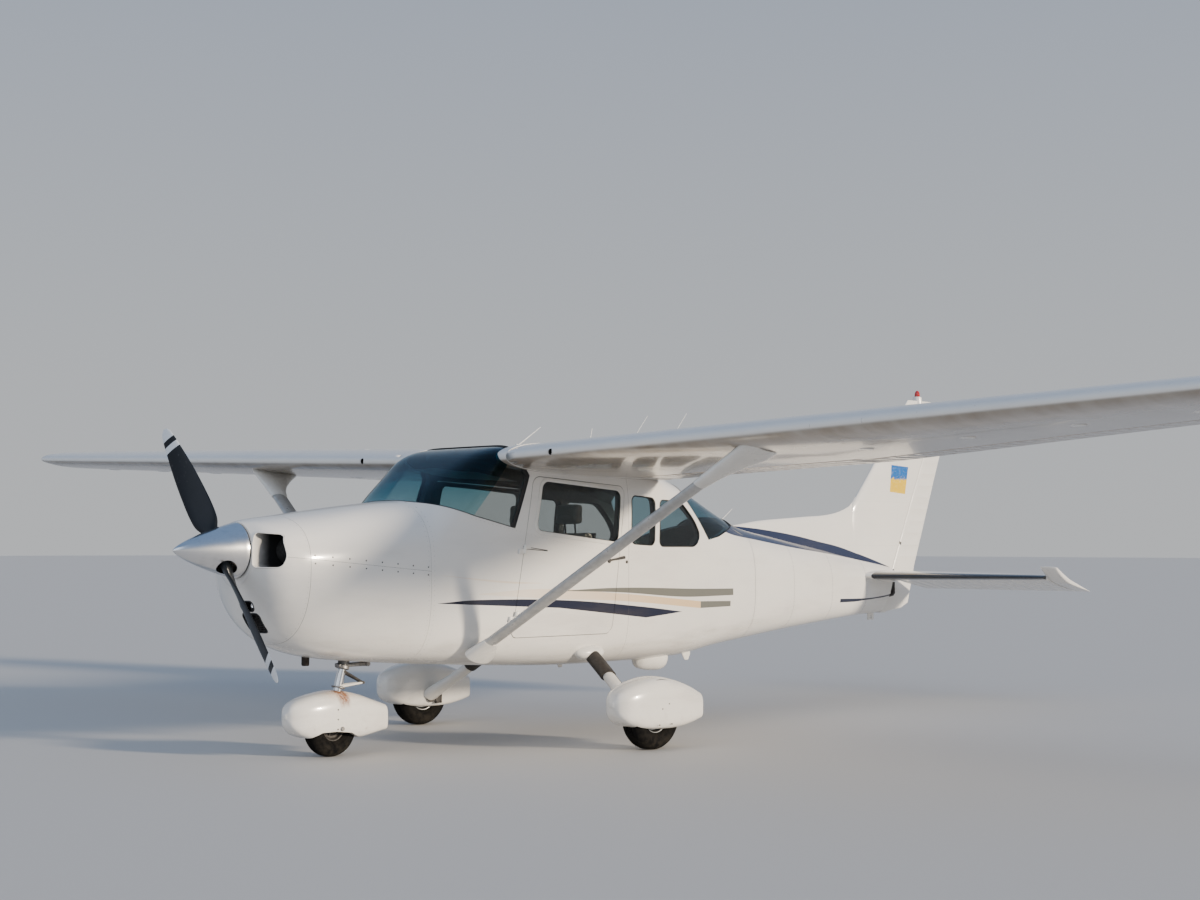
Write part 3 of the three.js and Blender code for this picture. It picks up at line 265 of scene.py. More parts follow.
# Each side of an outline moved outwards by a distance
def grown(corners, distance):
    points = [Vector(corner) for corner in corners]
    area = sum(p.x * q.y - q.x * p.y for p, q in zip(points, points[1:] + points[:1]))
    turn = 1 if area > 0 else -1
    made = []
    for before, here, after in zip(points[-1:] + points[:-1], points, points[1:] + points[:1]):
        a, b = (here - before).normalized(), (after - here).normalized()
        out_a, out_b = Vector((a.y, -a.x)) * turn, Vector((b.y, -b.x)) * turn
        out = out_a + out_b
        made.append(here + out * (distance / (1 + out_a.dot(out_b))))
    return [list(point) for point in made]


# Faces that a cutting tool leaves carry this mark
CUT_MARK = bpy.data.materials.new("cut_mark")


def cut(piece, tool, operation="DIFFERENCE", mark=True):
    if mark and not tool.data.materials:
        tool.data.materials.append(CUT_MARK)
    return modify(piece, "BOOLEAN", operation=operation, object=tool, solver="MANIFOLD",
                  material_mode="TRANSFER")


def drop_cut_faces(piece):
    marked = [i for i, slot in enumerate(piece.material_slots) if slot.material == CUT_MARK]
    delete_faces(piece, lambda face: face.material_index in marked)
    piece.data.materials.clear()
    return piece


def normals_from(piece, source, reach=0.8):
    return modify(piece, "DATA_TRANSFER", object=source, use_loop_data=True,
                  data_types_loops={"CUSTOM_NORMAL"}, loop_mapping="POLYINTERP_NEAREST",
                  use_max_distance=True, max_distance=reach * MM)


# A sheet of a closed skin: inside every keep tool and outside every cut tool
def sheet_of(name, source, keep=(), away=()):
    piece = twin(source, name)
    for tool in keep:
        cut(piece, tool, "INTERSECT")
    for tool in away:
        cut(piece, tool)
    return drop_cut_faces(piece)


# The same with a thickness inwards, and the smooth skin's own normals
def panel(name, source, keep=(), away=(), thick=2.0):
    piece = sheet_of(name, source, keep, away)
    modify(piece, "SOLIDIFY", thickness=thick * MM, offset=-1)
    soften(piece)
    return normals_from(piece, source)


# A bead along a sheet's edges
def bead(name, sheet, radius, sides=3):
    piece = twin(sheet, name)
    with editing(piece, "EDGE"):
        bpy.ops.mesh.select_all(action="DESELECT")
        bpy.ops.mesh.select_non_manifold()
        bpy.ops.mesh.select_all(action="INVERT")
        bpy.ops.mesh.delete(type="EDGE_FACE")
    with editing(piece, "VERT"):
        bpy.ops.mesh.remove_doubles(threshold=4e-4)
    bpy.ops.object.convert(target="CURVE")
    piece.data.bevel_depth = radius * MM
    piece.data.bevel_resolution = sides
    bpy.ops.object.convert(target="MESH")
    return soften(bpy.context.object, 60)


# Smooth value of a table's column at a place between its rows
def smooth_at(rows, place, column):
    last = len(rows) - 1
    i = next((k - 1 for k, row in enumerate(rows) if row[0] > place), last - 1)
    i = min(max(i, 0), last - 1)

    def slope(k):
        a, b = rows[max(k - 1, 0)], rows[min(k + 1, last)]
        return (b[column] - a[column]) / (b[0] - a[0])

    p, q = rows[i], rows[i + 1]
    step = q[0] - p[0]
    s = (place - p[0]) / step
    rise = q[column] - p[column]
    bend = (1 - s) * (slope(i) * step - rise) + s * (rise - slope(i + 1) * step)
    return p[column] + s * rise + s * (1 - s) * bend


def smooth_row(rows, place):
    return [smooth_at(rows, place, column) for column in range(1, len(rows[0]))]


# Straight value of every column at a place between a table's rows
def straight_row(rows, place):
    i = next((k for k, row in enumerate(rows) if row[0] >= place), len(rows) - 1)
    low, high = rows[max(i, 1) - 1], rows[max(i, 1)]
    s = (place - low[0]) / (high[0] - low[0])
    return [a + s * (b - a) for a, b in zip(low[1:], high[1:])]


def evenly(start, end, count):
    return [start + (end - start) * i / count for i in range(count + 1)]


# Fuselage. Columns: station, top, bottom, half width, height of the widest line, upper and lower roundness
BODY_ROWS = [
    (440, 1460, 1065, 188, 1277, 2.0, 2.0),
    (480, 1469, 965, 292, 1250, 2.2, 2.1),
    (540, 1479, 850, 362, 1225, 2.3, 2.2),
    (620, 1490, 765, 398, 1200, 2.4, 2.3),
    (740, 1505, 695, 424, 1180, 2.5, 2.4),
    (920, 1528, 640, 448, 1160, 2.6, 2.6),
    (1150, 1558, 605, 468, 1140, 2.7, 2.8),
    (1380, 1585, 585, 482, 1120, 2.8, 3.0),
    (1565, 1604, 570, 492, 1105, 2.9, 3.2),
    (1620, 1614, 566, 495, 1100, 3.3, 3.3),
    (1760, 1726, 557, 503, 1100, 4.2, 3.5),
    (1900, 1828, 549, 512, 1100, 5.4, 3.7),
    (2060, 1930, 540, 521, 1100, 8.0, 4.0),
    (2200, 1976, 532, 527, 1100, 8.5, 4.2),
    (2400, 1992, 521, 532, 1100, 8.0, 4.4),
    (2800, 1996, 505, 535, 1100, 7.0, 4.6),
    (3200, 1968, 500, 530, 1100, 6.3, 4.6),
    (3500, 1925, 500, 518, 1095, 5.8, 4.4),
    (3780, 1868, 500, 500, 1085, 5.0, 4.2),
    (4200, 1752, 512, 452, 1065, 4.0, 3.8),
    (4600, 1605, 560, 402, 1040, 3.3, 3.4),
    (4950, 1482, 592, 362, 1020, 2.9, 3.0),
    (5500, 1400, 645, 300, 1000, 2.6, 2.8),
    (6100, 1315, 695, 230, 985, 2.4, 2.6),
    (6700, 1225, 740, 155, 975, 2.2, 2.4),
    (7260, 1150, 760, 75, 960, 2.0, 2.2),
]
FIREWALL = 1565
TAIL_JOINT = 4950
TAIL_END = 7260
SKIN_OUT = 3
SKIN_POINTS = 96
# The nose's front face, as scales towards the shaft and stations
NOSE_FACE = [(0.5, 451), (0.72, 441), (0.9, 438.5), (0.975, 439)]
SKIN_STATIONS = [440, 443, 448, 456, 465, 474, 483] + evenly(492, 620, 9) + evenly(640, 1000, 12)
SKIN_STATIONS += evenly(1050, 1550, 10) + evenly(1565, 2400, 32)
SKIN_STATIONS += evenly(2450, 4950, 36) + evenly(5020, 7260, 28)


# A share of a half width or height, rounded by a power
def rounded(share, power):
    return math.copysign(abs(share) ** power, share)


def body_ring(aft, out=0):
    top, bottom, half, widest, upper, lower = smooth_row(BODY_ROWS, aft)
    ring = []
    for c, s in circle(SKIN_POINTS):
        power = 2 / (upper if s >= 0 else lower)
        reach = (top - widest if s >= 0 else widest - bottom) + out
        ring.append(at(aft, (half + out) * rounded(c, power), widest + reach * rounded(s, power)))
    return ring


def body_skin(name, out=0):
    front = body_ring(SKIN_STATIONS[0], out)
    shaft = at(0, 0, THRUST_Z)
    rings = []
    for scale, aft in NOSE_FACE:
        ring = [shaft + (point - shaft) * scale for point in front]
        rings.append([Vector((at(aft - out, 0, 0).x, point.y, point.z)) for point in ring])
    return loft(name, rings + [body_ring(aft, out) for aft in SKIN_STATIONS])


# Windows and doors, seen from the side. Corners are [station, z]
WINDSHIELD = [(1606, 1604), (1914, 1512), (2248, 1438), (2380, 1786), (2300, 1905), (2262, 2200),
              (1606, 2200)]
REAR_WINDOW = [(4080, 1660), (4228, 1482), (4315, 1370), (4463, 1394), (4760, 1480), (4760, 2200),
               (3985, 2200)]
DOOR = [(2222, 716), (2418, 1786), (3314, 1738), (3174, 716)]
DOOR_WINDOW = [(2440, 1424), (2503, 1752), (3264, 1702), (3230, 1346)]
SIDE_WINDOWS = {
    "front": [(3372, 1336), (3384, 1676), (3648, 1662), (3628, 1324)],
    "rear": [(3684, 1318), (3704, 1652), (3990, 1644), (4128, 1520), (4203, 1402), (4140, 1318)],
}
COWL_SPLIT = [(430, 1263), (1575, 1159)]
# Air inlet seen from the front; corners are (y, z)
INLET = [(176, 1188), (352, 1188), (372, 1250), (360, 1300), (318, 1388), (176, 1400)]
# Stations of an inlet's cutting tool, lip, throat and end, and the radius of its corners
INLET_DEPTH = {"front": 400, "lip": 642, "end": 667, "tool": 700, "radius": 24}
# Openings in the chin, seen from the front, and how deep their mouths are
CHIN_DEPTH = {"lamp": 560, "intake": 612, "end": 640, "tool": 620, "radius": 26}
CHIN = {
    "lamp": [(-6, 924), (112, 924), (119, 986), (-6, 986)],
    "intake": [(-24, 794), (128, 794), (135, 912), (-24, 912)],
}
SIDES = {"left": 1, "right": -1}


def across(name, corners, radius=0):
    return side_prism(name, corners, -800, 800, radius)


def one_side(name, corners, side, radius=0):
    low, high = sorted((side * 250, side * 800))
    return side_prism(name, corners, low, high, radius)


def between(name, front, rear):
    return across(name, [(front, 200), (rear, 200), (rear, 2400), (front, 2400)])


# Which side of the cowl's split line, with a narrow seam
def cowl_half(name, upper, front, rear, seam=0.8):
    (a, low_a), (b, low_b) = COWL_SPLIT
    shift = seam if upper else -seam
    slope = (low_b - low_a) / (b - a)
    ends = [(front, low_a + slope * (front - a) + shift), (rear, low_a + slope * (rear - a) + shift)]
    far = 2400 if upper else 200
    return across(name, ends + [(rear, far), (front, far)])


def cowling(skin):
    pieces = []
    front, inlet_end, radius = (INLET_DEPTH[key] for key in ("front", "tool", "radius"))
    inlets = [front_prism("inlet_tool", [(side * y, z) for y, z in INLET], front, inlet_end, radius)
              for side in (1, -1)]
    shaft = bar("shaft_tool", at(380, 0, THRUST_Z), at(520, 0, THRUST_Z), 98, sides=48)
    leg = block("leg_tool", at(1345, -72, 480), at(1118, 72, 700), 20)
    chin_end, radius = CHIN_DEPTH["tool"], CHIN_DEPTH["radius"]
    chin = [front_prism("chin_tool", corners, front, chin_end, radius) for corners in CHIN.values()]
    for name, upper in (("cowl_upper", True), ("cowl_lower", False)):
        half = cowl_half("half_tool", upper, 430, FIREWALL - 1)
        piece = panel(name + "_skin", skin, [half], [*inlets, shaft] + ([] if upper else [leg, *chin]), 2.5)
        pieces.append(piece)
        drop(half)
    drop(*inlets, shaft, leg, *chin)
    return pieces


def cabin_skin(skin):
    middle = between("middle_tool", FIREWALL + 1, TAIL_JOINT - 1)
    openings = [across("windshield_tool", WINDSHIELD), across("rear_tool", REAR_WINDOW)]
    for side in (1, -1):
        openings.append(one_side("door_tool", DOOR, side, 60))
        openings += [one_side("pane_tool", pane, side, 45) for pane in SIDE_WINDOWS.values()]
    piece = panel("cabin_skin", skin, [middle], openings)
    drop(middle, *openings)
    return piece


def door_skin(skin, name, side):
    leaf = one_side("leaf_tool", grown(DOOR, -4), side, 57)
    window = one_side("window_tool", DOOR_WINDOW, side, 50)
    piece = panel(f"door_skin_{name}", skin, [leaf], [window])
    drop(leaf, window)
    return piece


# The tail's end follows the rudder's hinge line and leaves room for the elevator's tube
def tail_skin(skin):
    rear = between("rear_tool", TAIL_JOINT + 1, TAIL_END + 60)
    end = across("end_tool", [rudder_front(640), rudder_front(1300), (7600, 1300), (7600, 640)])
    piece = twin(skin, "tail_skin")
    cut(piece, rear, "INTERSECT", mark=False)
    tools = [end]
    for side in (1, -1):
        low, high = sorted((side * 8, side * 400))
        tools.append(block("tube_tool", at(7400, low, STAB_Z - 27), at(STAB_HINGE - 27, high, STAB_Z + 27)))
    for tool in tools:
        cut(piece, tool, mark=False)
    drop(rear, *tools)
    soften(piece)
    normals_from(piece, skin)
    lug = block("tail_lug", at(7010, -9, 690), at(6930, 9, 800), 5)
    hole = bar("lug_tool", at(6970, -20, 712), at(6970, 20, 712), 11, sides=24)
    cut(lug, hole, mark=False)
    drop(hole)
    return merged("tail_skin", piece, lug)


# Aerofoils; lengths are millimetres, and the tilt is radians
class Foil:
    def __init__(self, edge, chord, ratio, camber=0.0, tilt=0.0, upright=False):
        self.edge, self.chord, self.ratio, self.camber = edge, chord, ratio, camber
        self.aft = Vector((-1, 0, 0)) if upright else Vector((-math.cos(tilt), 0, -math.sin(tilt)))
        self.up = Vector((0, 1, 0)) if upright else Vector((-math.sin(tilt), 0, math.cos(tilt)))

    def half(self, f):
        curve = 0.2969 * math.sqrt(f) - 0.126 * f - 0.3516 * f**2 + 0.2843 * f**3 - 0.1025 * f**4
        return max(5 * self.ratio * curve * self.chord, 1.5)

    def middle(self, f, peak=0.4):
        if f < peak:
            return self.chord * self.camber / peak**2 * (2 * peak * f - f * f)
        return self.chord * self.camber / (1 - peak) ** 2 * (1 - 2 * peak + 2 * peak * f - f * f)

    def point(self, along, across):
        return self.edge + self.aft * (along * MM) + self.up * (across * MM)


# A section between two fractions of its chord; behind the leading edge it starts with a round nose
def foil_ring(foil, start, end, out=None, count=36, arc=12):
    span = end - start
    places = [start + span * (1 - math.cos(math.pi * k / count)) / 2 for k in range(1, count + 1)]
    places = places if start == 0 else [start + span * k / count for k in range(1, count + 1)]
    extra = out or (lambda f: 0)
    upper = [foil.point(f * foil.chord, foil.middle(f) + foil.half(f) + extra(f)) for f in places]
    lower = [foil.point(f * foil.chord, foil.middle(f) - foil.half(f) - extra(f)) for f in places]
    nose = [foil.point(0, 0)]
    if start > 0:
        radius = foil.half(start)
        turns = [math.pi * (0.5 + k / arc) for k in range(arc + 1)]
        nose = [foil.point(start * foil.chord + radius * math.cos(t),
                           foil.middle(start) + radius * math.sin(t))
                for t in turns]
    return nose + lower + upper[::-1]


# Wing. Columns: span place, leading edge station and height, chord, tilt in degrees, thickness ratio
WING_ROWS = [
    (430, 2150, 1901, 1626, 3.7, 0.12),
    (545, 2150, 1905, 1626, 3.7, 0.12),
    (2500, 2150, 1974, 1626, 3.7, 0.12),
    (5330, 2125, 2072, 1196, 2.6, 0.12),
    (5440, 2135, 2080, 1150, 2.6, 0.105),
    (5488, 2165, 2084, 1060, 2.6, 0.075),
    (HALF_SPAN, 2210, 2086, 950, 2.6, 0.045),
]
WING_CAMBER = 0.02
WING_ROOT = 545
FLAP = {"inner": 620, "outer": 2484, "hinge": (0.77, 0.77)}
AILERON = {"inner": 2516, "outer": 5060, "hinge": (0.815, 0.79)}
RUN_GAP = 6
# A round air inlet in each wing's leading edge, by its span place
VENT_Y = 952
# Stiffening beads pressed into the moving surfaces: pitch, half width, height
BEAD = (106, 13, 2.6)


def wing_foil(y, side=1):
    aft, z, chord, tilt, ratio = straight_row(WING_ROWS, y)
    return Foil(at(aft, side * y, z), chord, ratio, WING_CAMBER, math.radians(tilt))


def hinge_share(surface, y):
    s = (y - surface["inner"]) / (surface["outer"] - surface["inner"])
    inner, outer = surface["hinge"]
    return inner + min(max(s, 0), 1) * (outer - inner)


# Places along a beaded surface, close together at each bead
def bead_places(inner, outer):
    pitch, half, _ = BEAD
    places = [inner, inner + 4]
    middle = inner + pitch / 2
    while middle + half < outer - 4:
        places += [middle - half, middle - half / 3, middle, middle + half / 3, middle + half]
        middle += pitch
    return places + [outer - 4, outer]


def bead_height(inner, y, start, end):
    pitch, half, height = BEAD
    off = abs((y - inner) % pitch - pitch / 2)
    rise = height * max(0, math.cos(math.pi * min(off / half, 1) / 2))

    def extra(f):
        s = (f - start) / (end - start)
        return rise * min(1, max(0, (s - 0.06) / 0.08)) * min(1, max(0, (0.97 - s) / 0.06))

    return extra


def moving_wing_piece(name, surface, side):
    rings = []
    for y in bead_places(surface["inner"], surface["outer"]):
        start = hinge_share(surface, y)
        extra = bead_height(surface["inner"], y, start, 1)
        rings.append(foil_ring(wing_foil(y, side), start, 1, extra, count=22))
    return loft(name, rings)


# The room that a flap or an aileron needs in the wing
def moving_room(surface, side):
    rings = []
    for y in (surface["inner"] - RUN_GAP, surface["outer"] + RUN_GAP):
        foil = wing_foil(y, side)
        f = hinge_share(surface, y)
        front = f * foil.chord - foil.half(f) - RUN_GAP
        back = foil.chord + 300
        rings.append([foil.point(*p) for p in ((front, -300), (front, 300), (back, 300), (back, -300))])
    return loft("room_tool", rings)


def wing(name, side):
    places = evenly(WING_ROOT + 0.5, 2500, 24) + evenly(2560, 5330, 34)
    places += [5390, 5440, 5470, 5488, HALF_SPAN]
    whole = loft("wing_whole", [foil_ring(wing_foil(y, side), 0, 1) for y in places], 60)
    piece = twin(whole, f"wing_{name}_skin")
    for surface in (FLAP, AILERON):
        room = moving_room(surface, side)
        cut(piece, room, mark=False)
        drop(room)
    edge = wing_foil(VENT_Y, side).edge
    hole = bar("vent_tool", edge + Vector((0.05, 0, 0)), edge - Vector((0.09, 0, 0)), 20.5, sides=40)
    cut(piece, hole, mark=False)
    drop(hole)
    soften(piece, 60)
    normals_from(piece, whole)
    drop(whole)
    return piece


# The wing's root beside the cabin roof, with a rounded foot
def wing_root(name, side):
    rings = [foil_ring(wing_foil(y, side), 0, 1, lambda f: 3) for y in (452, 480, 510, 540, WING_ROOT)]
    return loft(f"wing_root_{name}", rings, 60)


# Strut. Places are station, y, z; columns: place along the strut, chord, thickness
STRUT_FOOT = (1950, 506, 640)
STRUT_HEAD = (2335, 2370, 1866)
STRUT_ROWS = [(-40, 140, 60), (60, 140, 60), (100, 134, 57), (130, 122, 52), (300, 122, 52)]


# The strut's foot and head, and its directions along, aft and over
def strut_frame(side):
    foot, head = (at(aft, side * y, z) for aft, y, z in (STRUT_FOOT, STRUT_HEAD))
    along = (head - foot).normalized()
    aft = (Vector((-1, 0, 0)) + along * along.x).normalized()
    return foot, head, along, aft, along.cross(aft)


def strut(name, side):
    foot, head, along, aft, over = strut_frame(side)
    length = (head - foot).length / MM
    ends = [(length - 260, 122, 52), (length + 60, 122, 52)]
    rings = []
    for place, chord, thick in STRUT_ROWS + ends:
        ring = []
        for c, s in circle(40):
            u, w = 0.5 * chord * c, 0.5 * thick * s
            w *= 1.06 if u < 0 else 0.94
            ring.append(foot + along * (place * MM) + aft * (u * MM) + over * (w * MM))
        rings.append(ring)
    return loft(f"strut_{name}_skin", rings, 50)


# Tail. Columns of the stabilizer: span place, leading edge station, thickness ratio
STAB_Z = 1072
STAB_HINGE = 7190
STAB_TIP = 1590
STAB_ROWS = [(0, 6640, 0.095), (1590, 7120, 0.085), (1725, 7160, 0.07)]
ELEVATOR = {"inner": 135, "outer": 1725, "trailing": 7645, "droop": math.radians(15), "horn": 140,
            "horn_ratio": 0.065}
# Columns of the fin: height, leading edge station, trailing edge station, thickness
FIN_ROWS = [
    (1000, 6560, 7590, 96),
    (1158, 6600, 7640, 94),
    (1666, 6690, 7856, 88),
    (1983, 6985, 7990, 76),
    (2640, 7567, 8280, 52),
]
RUDDER_HINGE = {"station": 7215, "z": 1000, "lean": 0.509}
RUDDER_BRACKETS = {"heights": (1350, 2250), "thick": 12, "slot": 30}
FIN_TOP = 2625
BEACON = (7712, 0, 2625)
RUDDER_Z = (750, 2640)
# What the rudder's foot lacks, seen from the side
RUDDER_CORNER = [(7120, 700), (7700, 700), (7700, 985), (7650, 985), (7621, 889), (7563, 836), (7414, 786),
                 (7150, 756)]


def stab_foil(y, side):
    edge, ratio = straight_row(STAB_ROWS, y)
    return Foil(at(edge, side * y, STAB_Z), ELEVATOR["trailing"] - edge, ratio)


def stab_share(y, aft):
    edge = straight_row(STAB_ROWS, y)[0]
    return (aft - edge) / (ELEVATOR["trailing"] - edge)


def stabilizer():
    places = [-STAB_TIP, -STAB_TIP + 8] + evenly(-1500, 1500, 30) + [STAB_TIP - 8, STAB_TIP]
    rings = []
    for y in places:
        foil = stab_foil(abs(y), 1 if y > 0 else -1)
        hinge = stab_share(abs(y), STAB_HINGE)
        rings.append(foil_ring(foil, 0, hinge - (foil.half(hinge) + RUN_GAP) / foil.chord))
    return loft("stabilizer_skin", rings, 60)


def elevator():
    halves = []
    inner, outer = ELEVATOR["inner"], ELEVATOR["outer"]
    for side in (1, -1):
        rings = []
        for y in bead_places(inner, STAB_TIP):
            start = stab_share(y, STAB_HINGE)
            rings.append(foil_ring(stab_foil(y, side), start, 1, bead_height(inner, y, start, 1), count=20))
        halves.append(loft("elevator_half", rings))
        horn = []
        for y in (STAB_TIP + RUN_GAP, STAB_TIP + 12, 1680, 1705, outer - 6, outer):
            front = STAB_HINGE - ELEVATOR["horn"] + max(0, y - 1690) * 0.8
            ratio = ELEVATOR["horn_ratio"] * (0.6 if y > outer - 3 else 1)
            foil = Foil(at(front, side * y, STAB_Z), ELEVATOR["trailing"] - front, ratio)
            nose = foil_ring(foil, 0, 1, count=20)
            ahead = [max(0, 1 - (NOSE_X - point[0] - front * MM) / 0.26) for point in nose]
            horn.append([Vector(point) + Vector((0, 0, 0.055 * share ** 1.5))
                         for point, share in zip(nose, ahead)])
        halves.append(loft("elevator_horn", horn, 60))
        halves.append(block("elevator_join", at(STAB_HINGE + 400, side * (STAB_TIP - 4), STAB_Z - 2),
                            at(STAB_HINGE - 8, side * (STAB_TIP + RUN_GAP + 4), STAB_Z + 2)))
    halves.append(bar("elevator_tube", at(STAB_HINGE, -200, STAB_Z), at(STAB_HINGE, 200, STAB_Z),
                      15, sides=24))
    piece = merged("elevator_skin", *halves)
    alone(piece)
    bpy.ops.transform.rotate(value=ELEVATOR["droop"], orient_axis="Y",
                             center_override=at(STAB_HINGE, 0, STAB_Z))
    settle()
    return piece


def fin_foil(z):
    edge, trailing, thick = straight_row(FIN_ROWS, z)
    chord = trailing - edge
    return Foil(at(edge, 0, z), chord, thick / chord, upright=True)


def rudder_line(z):
    return RUDDER_HINGE["station"] + RUDDER_HINGE["lean"] * (z - RUDDER_HINGE["z"])


def fin_share(z):
    edge, trailing, _ = straight_row(FIN_ROWS, z)
    return (rudder_line(z) - edge) / (trailing - edge)


# The low ridge from the rear window up to the fin. Columns: station, top, half width at its foot
DORSAL_ROWS = [
    (4985, 1466, 8), (5200, 1496, 40), (5460, 1527, 46), (6000, 1562, 46),
    (6420, 1594, 44), (6680, 1668, 42), (6760, 1745, 40),
]
DORSAL_SHAPE = [(1, 0), (0.8, 0.3), (0.55, 0.6), (0.35, 0.85), (0.18, 0.965), (0, 1)]


def dorsal_ridge():
    rings = []
    for aft in evenly(4985, 6760, 40):
        top, half = smooth_row(DORSAL_ROWS, aft)
        foot = smooth_at(BODY_ROWS, aft, 1) - 60
        curve = [(half * side * u, foot + v * (top - foot)) for side, points in
                 ((1, DORSAL_SHAPE), (-1, DORSAL_SHAPE[-2::-1])) for u, v in points]
        rings.append([at(aft, y, z) for y, z in curve])
    return loft("dorsal_ridge", rings, 40)


def fin():
    rings = []
    for z in evenly(1000, FIN_TOP, 40):
        foil = fin_foil(z)
        hinge = fin_share(z)
        rings.append(foil_ring(foil, 0, hinge - (foil.half(hinge) + RUN_GAP) / foil.chord))
    panel_part = loft("fin_panel", rings, 60)
    cap = [(0, -60), (44, -60), (43, -8), (38, 34), (33, 39), (0, 39)]
    cap = turned("fin_cap", cap, at(*BEACON), (0, 0, 1))
    return merged("fin_skin", panel_part, cap)


def rudder_front(z):
    foil = fin_foil(z)
    return rudder_line(z) - foil.half(fin_share(z)) - RUN_GAP, z


def rudder():
    rings = []
    inner = 1180
    for z in [RUDDER_Z[0], 860, 1000, 1158] + bead_places(inner, RUDDER_Z[1]):
        start = fin_share(z)
        extra = bead_height(inner, z, start, 1) if z > inner else None
        rings.append(foil_ring(fin_foil(z), start, 1, extra, count=20))
    piece = loft("rudder_skin", rings)
    tools = [across("corner_tool", RUDDER_CORNER)]
    for z in RUDDER_BRACKETS["heights"]:
        reach = RUDDER_BRACKETS["thick"] / 2 + RUN_GAP
        ends = [at(rudder_line(height), 0, height) for height in (z - reach, z + reach)]
        tools.append(bar("slot_tool", *ends, RUDDER_BRACKETS["slot"], sides=24))
    for tool in tools:
        cut(piece, tool, mark=False)
    drop(*tools)
    return soften(piece)


def fin_brackets():
    lean = math.atan(RUDDER_HINGE["lean"])
    half = RUDDER_BRACKETS["thick"] / 2
    made = []
    for z in RUDDER_BRACKETS["heights"]:
        corners = []
        for u, w in ((-80, -half), (12, -half), (12, half), (-80, half)):
            aft = u * math.cos(lean) + w * math.sin(lean)
            corners.append((rudder_line(z) + aft, z - u * math.sin(lean) + w * math.cos(lean)))
        made.append(side_prism("fin_bracket", corners, -10, 10))
    return merged("fin_brackets", *made)


# Undercarriage
MAIN_WHEEL = {"station": 2875, "track": 1160, "radius": 222.5, "width": 160, "rim": 113}
NOSE_WHEEL = {"station": 1160, "track": 0, "radius": 180, "width": 126, "rim": 82}
NOSE_RAKE = math.radians(14)
# Main leg. Columns: place across, station, z, radius
LEG_ROWS = [
    (430, 3008, 627, 36), (500, 3000, 578, 35), (640, 2975, 484, 32), (760, 2950, 402, 30),
    (860, 2925, 338, 31), (985, 2888, 260, 38), (1040, 2875, 222.5, 40),
]
CUFF_INNER = 690
LEG_BULGE = {"place": (2998, 478, 592), "radii": (133, 65, 53)}
# Wheel fairings. Columns: station from the axle, half width, top, bottom
MAIN_PANT_ROWS = [
    (-372, 22, 330, 290), (-355, 60, 372, 240), (-300, 98, 410, 190), (-180, 126, 450, 150),
    (0, 136, 473, 134), (170, 128, 445, 134), (320, 104, 400, 152), (440, 74, 350, 176),
]
NOSE_PANT_ROWS = [
    (-350, 20, 290, 250), (-332, 54, 330, 205), (-270, 90, 366, 150), (-150, 118, 396, 118),
    (20, 128, 412, 110), (172, 120, 384, 111), (300, 98, 342, 128), (410, 70, 306, 144),
]
# The arch in the bottom edge of the nose fairing's sides
NOSE_PANT_ARCH = [(938, 60), (938, 128), (1018, 164), (1122, 165), (1236, 152), (1332, 111), (1332, 60)]
PANT_POWER = {"upper": 2 / 3, "lower": 2 / 5}
PANT_FRONT = [(0.35, -5), (0.7, -3.5), (0.9, -2)]


def pant(name, rows, wheel, side, spare, arch=None):
    axle, y = wheel["station"], side * wheel["track"]
    first = rows[0][0]
    places = [first, first + 2, first + 6, first + 12] + evenly(first + 20, -180, 12)
    places += evenly(-165, rows[-1][0], 26)
    rings = []
    for place in places:
        half, top, bottom = smooth_row(rows, place)
        ring = []
        for c, s in circle(64):
            power = PANT_POWER["lower" if s < 0 else "upper"]
            w = (top - bottom) / 2 * rounded(s, power)
            ring.append(at(axle + place, y + half * rounded(c, power), (top + bottom) / 2 + w))
        rings.append(ring)
    middle = at(axle + first, y, (rows[0][2] + rows[0][3]) / 2)
    caps = [[Vector((at(axle + first + place, 0, 0).x, *(middle + (p - middle) * scale).yz))
             for p in rings[0]]
            for scale, place in PANT_FRONT]
    piece = loft(name, caps + rings, 50)
    half = wheel["width"] / 2 + spare
    tools = [bar("room_tool", at(axle, y - half, wheel["radius"]), at(axle, y + half, wheel["radius"]),
                 wheel["radius"] + spare, sides=64)]
    if arch:
        tools.append(across("arch_tool", arch))
    for tool in tools:
        cut(piece, tool, mark=False)
    drop(*tools)
    return soften(piece, 40)


def tyre(name, wheel, side):
    radius, rim, half = wheel["radius"], wheel["rim"], wheel["width"] / 2
    groove, deep = half * 0.045, 7
    tread = []
    for middle in (-0.27, -0.09, 0.09, 0.27):
        tread += [(radius, half * middle - groove), (radius - deep, half * middle - groove * 0.7),
                  (radius - deep, half * middle + groove * 0.7), (radius, half * middle + groove)]
    wall = [(rim, half * 0.62), (rim + 6, half * 0.72), (rim + 14, half * 0.8),
            ((radius + rim) / 2 - 20, half * 0.965),
            ((radius + rim) / 2 + 6, half), (radius - 42, half * 0.985), (radius - 28, half * 0.92),
            (radius - 14, half * 0.78), (radius - 5, half * 0.6), (radius, half * 0.4)]
    profile = [(r, -w) for r, w in wall] + tread + wall[::-1]
    return turned(name, profile, at(wheel["station"], side * wheel["track"], radius), (0, 1, 0), 72, 28)


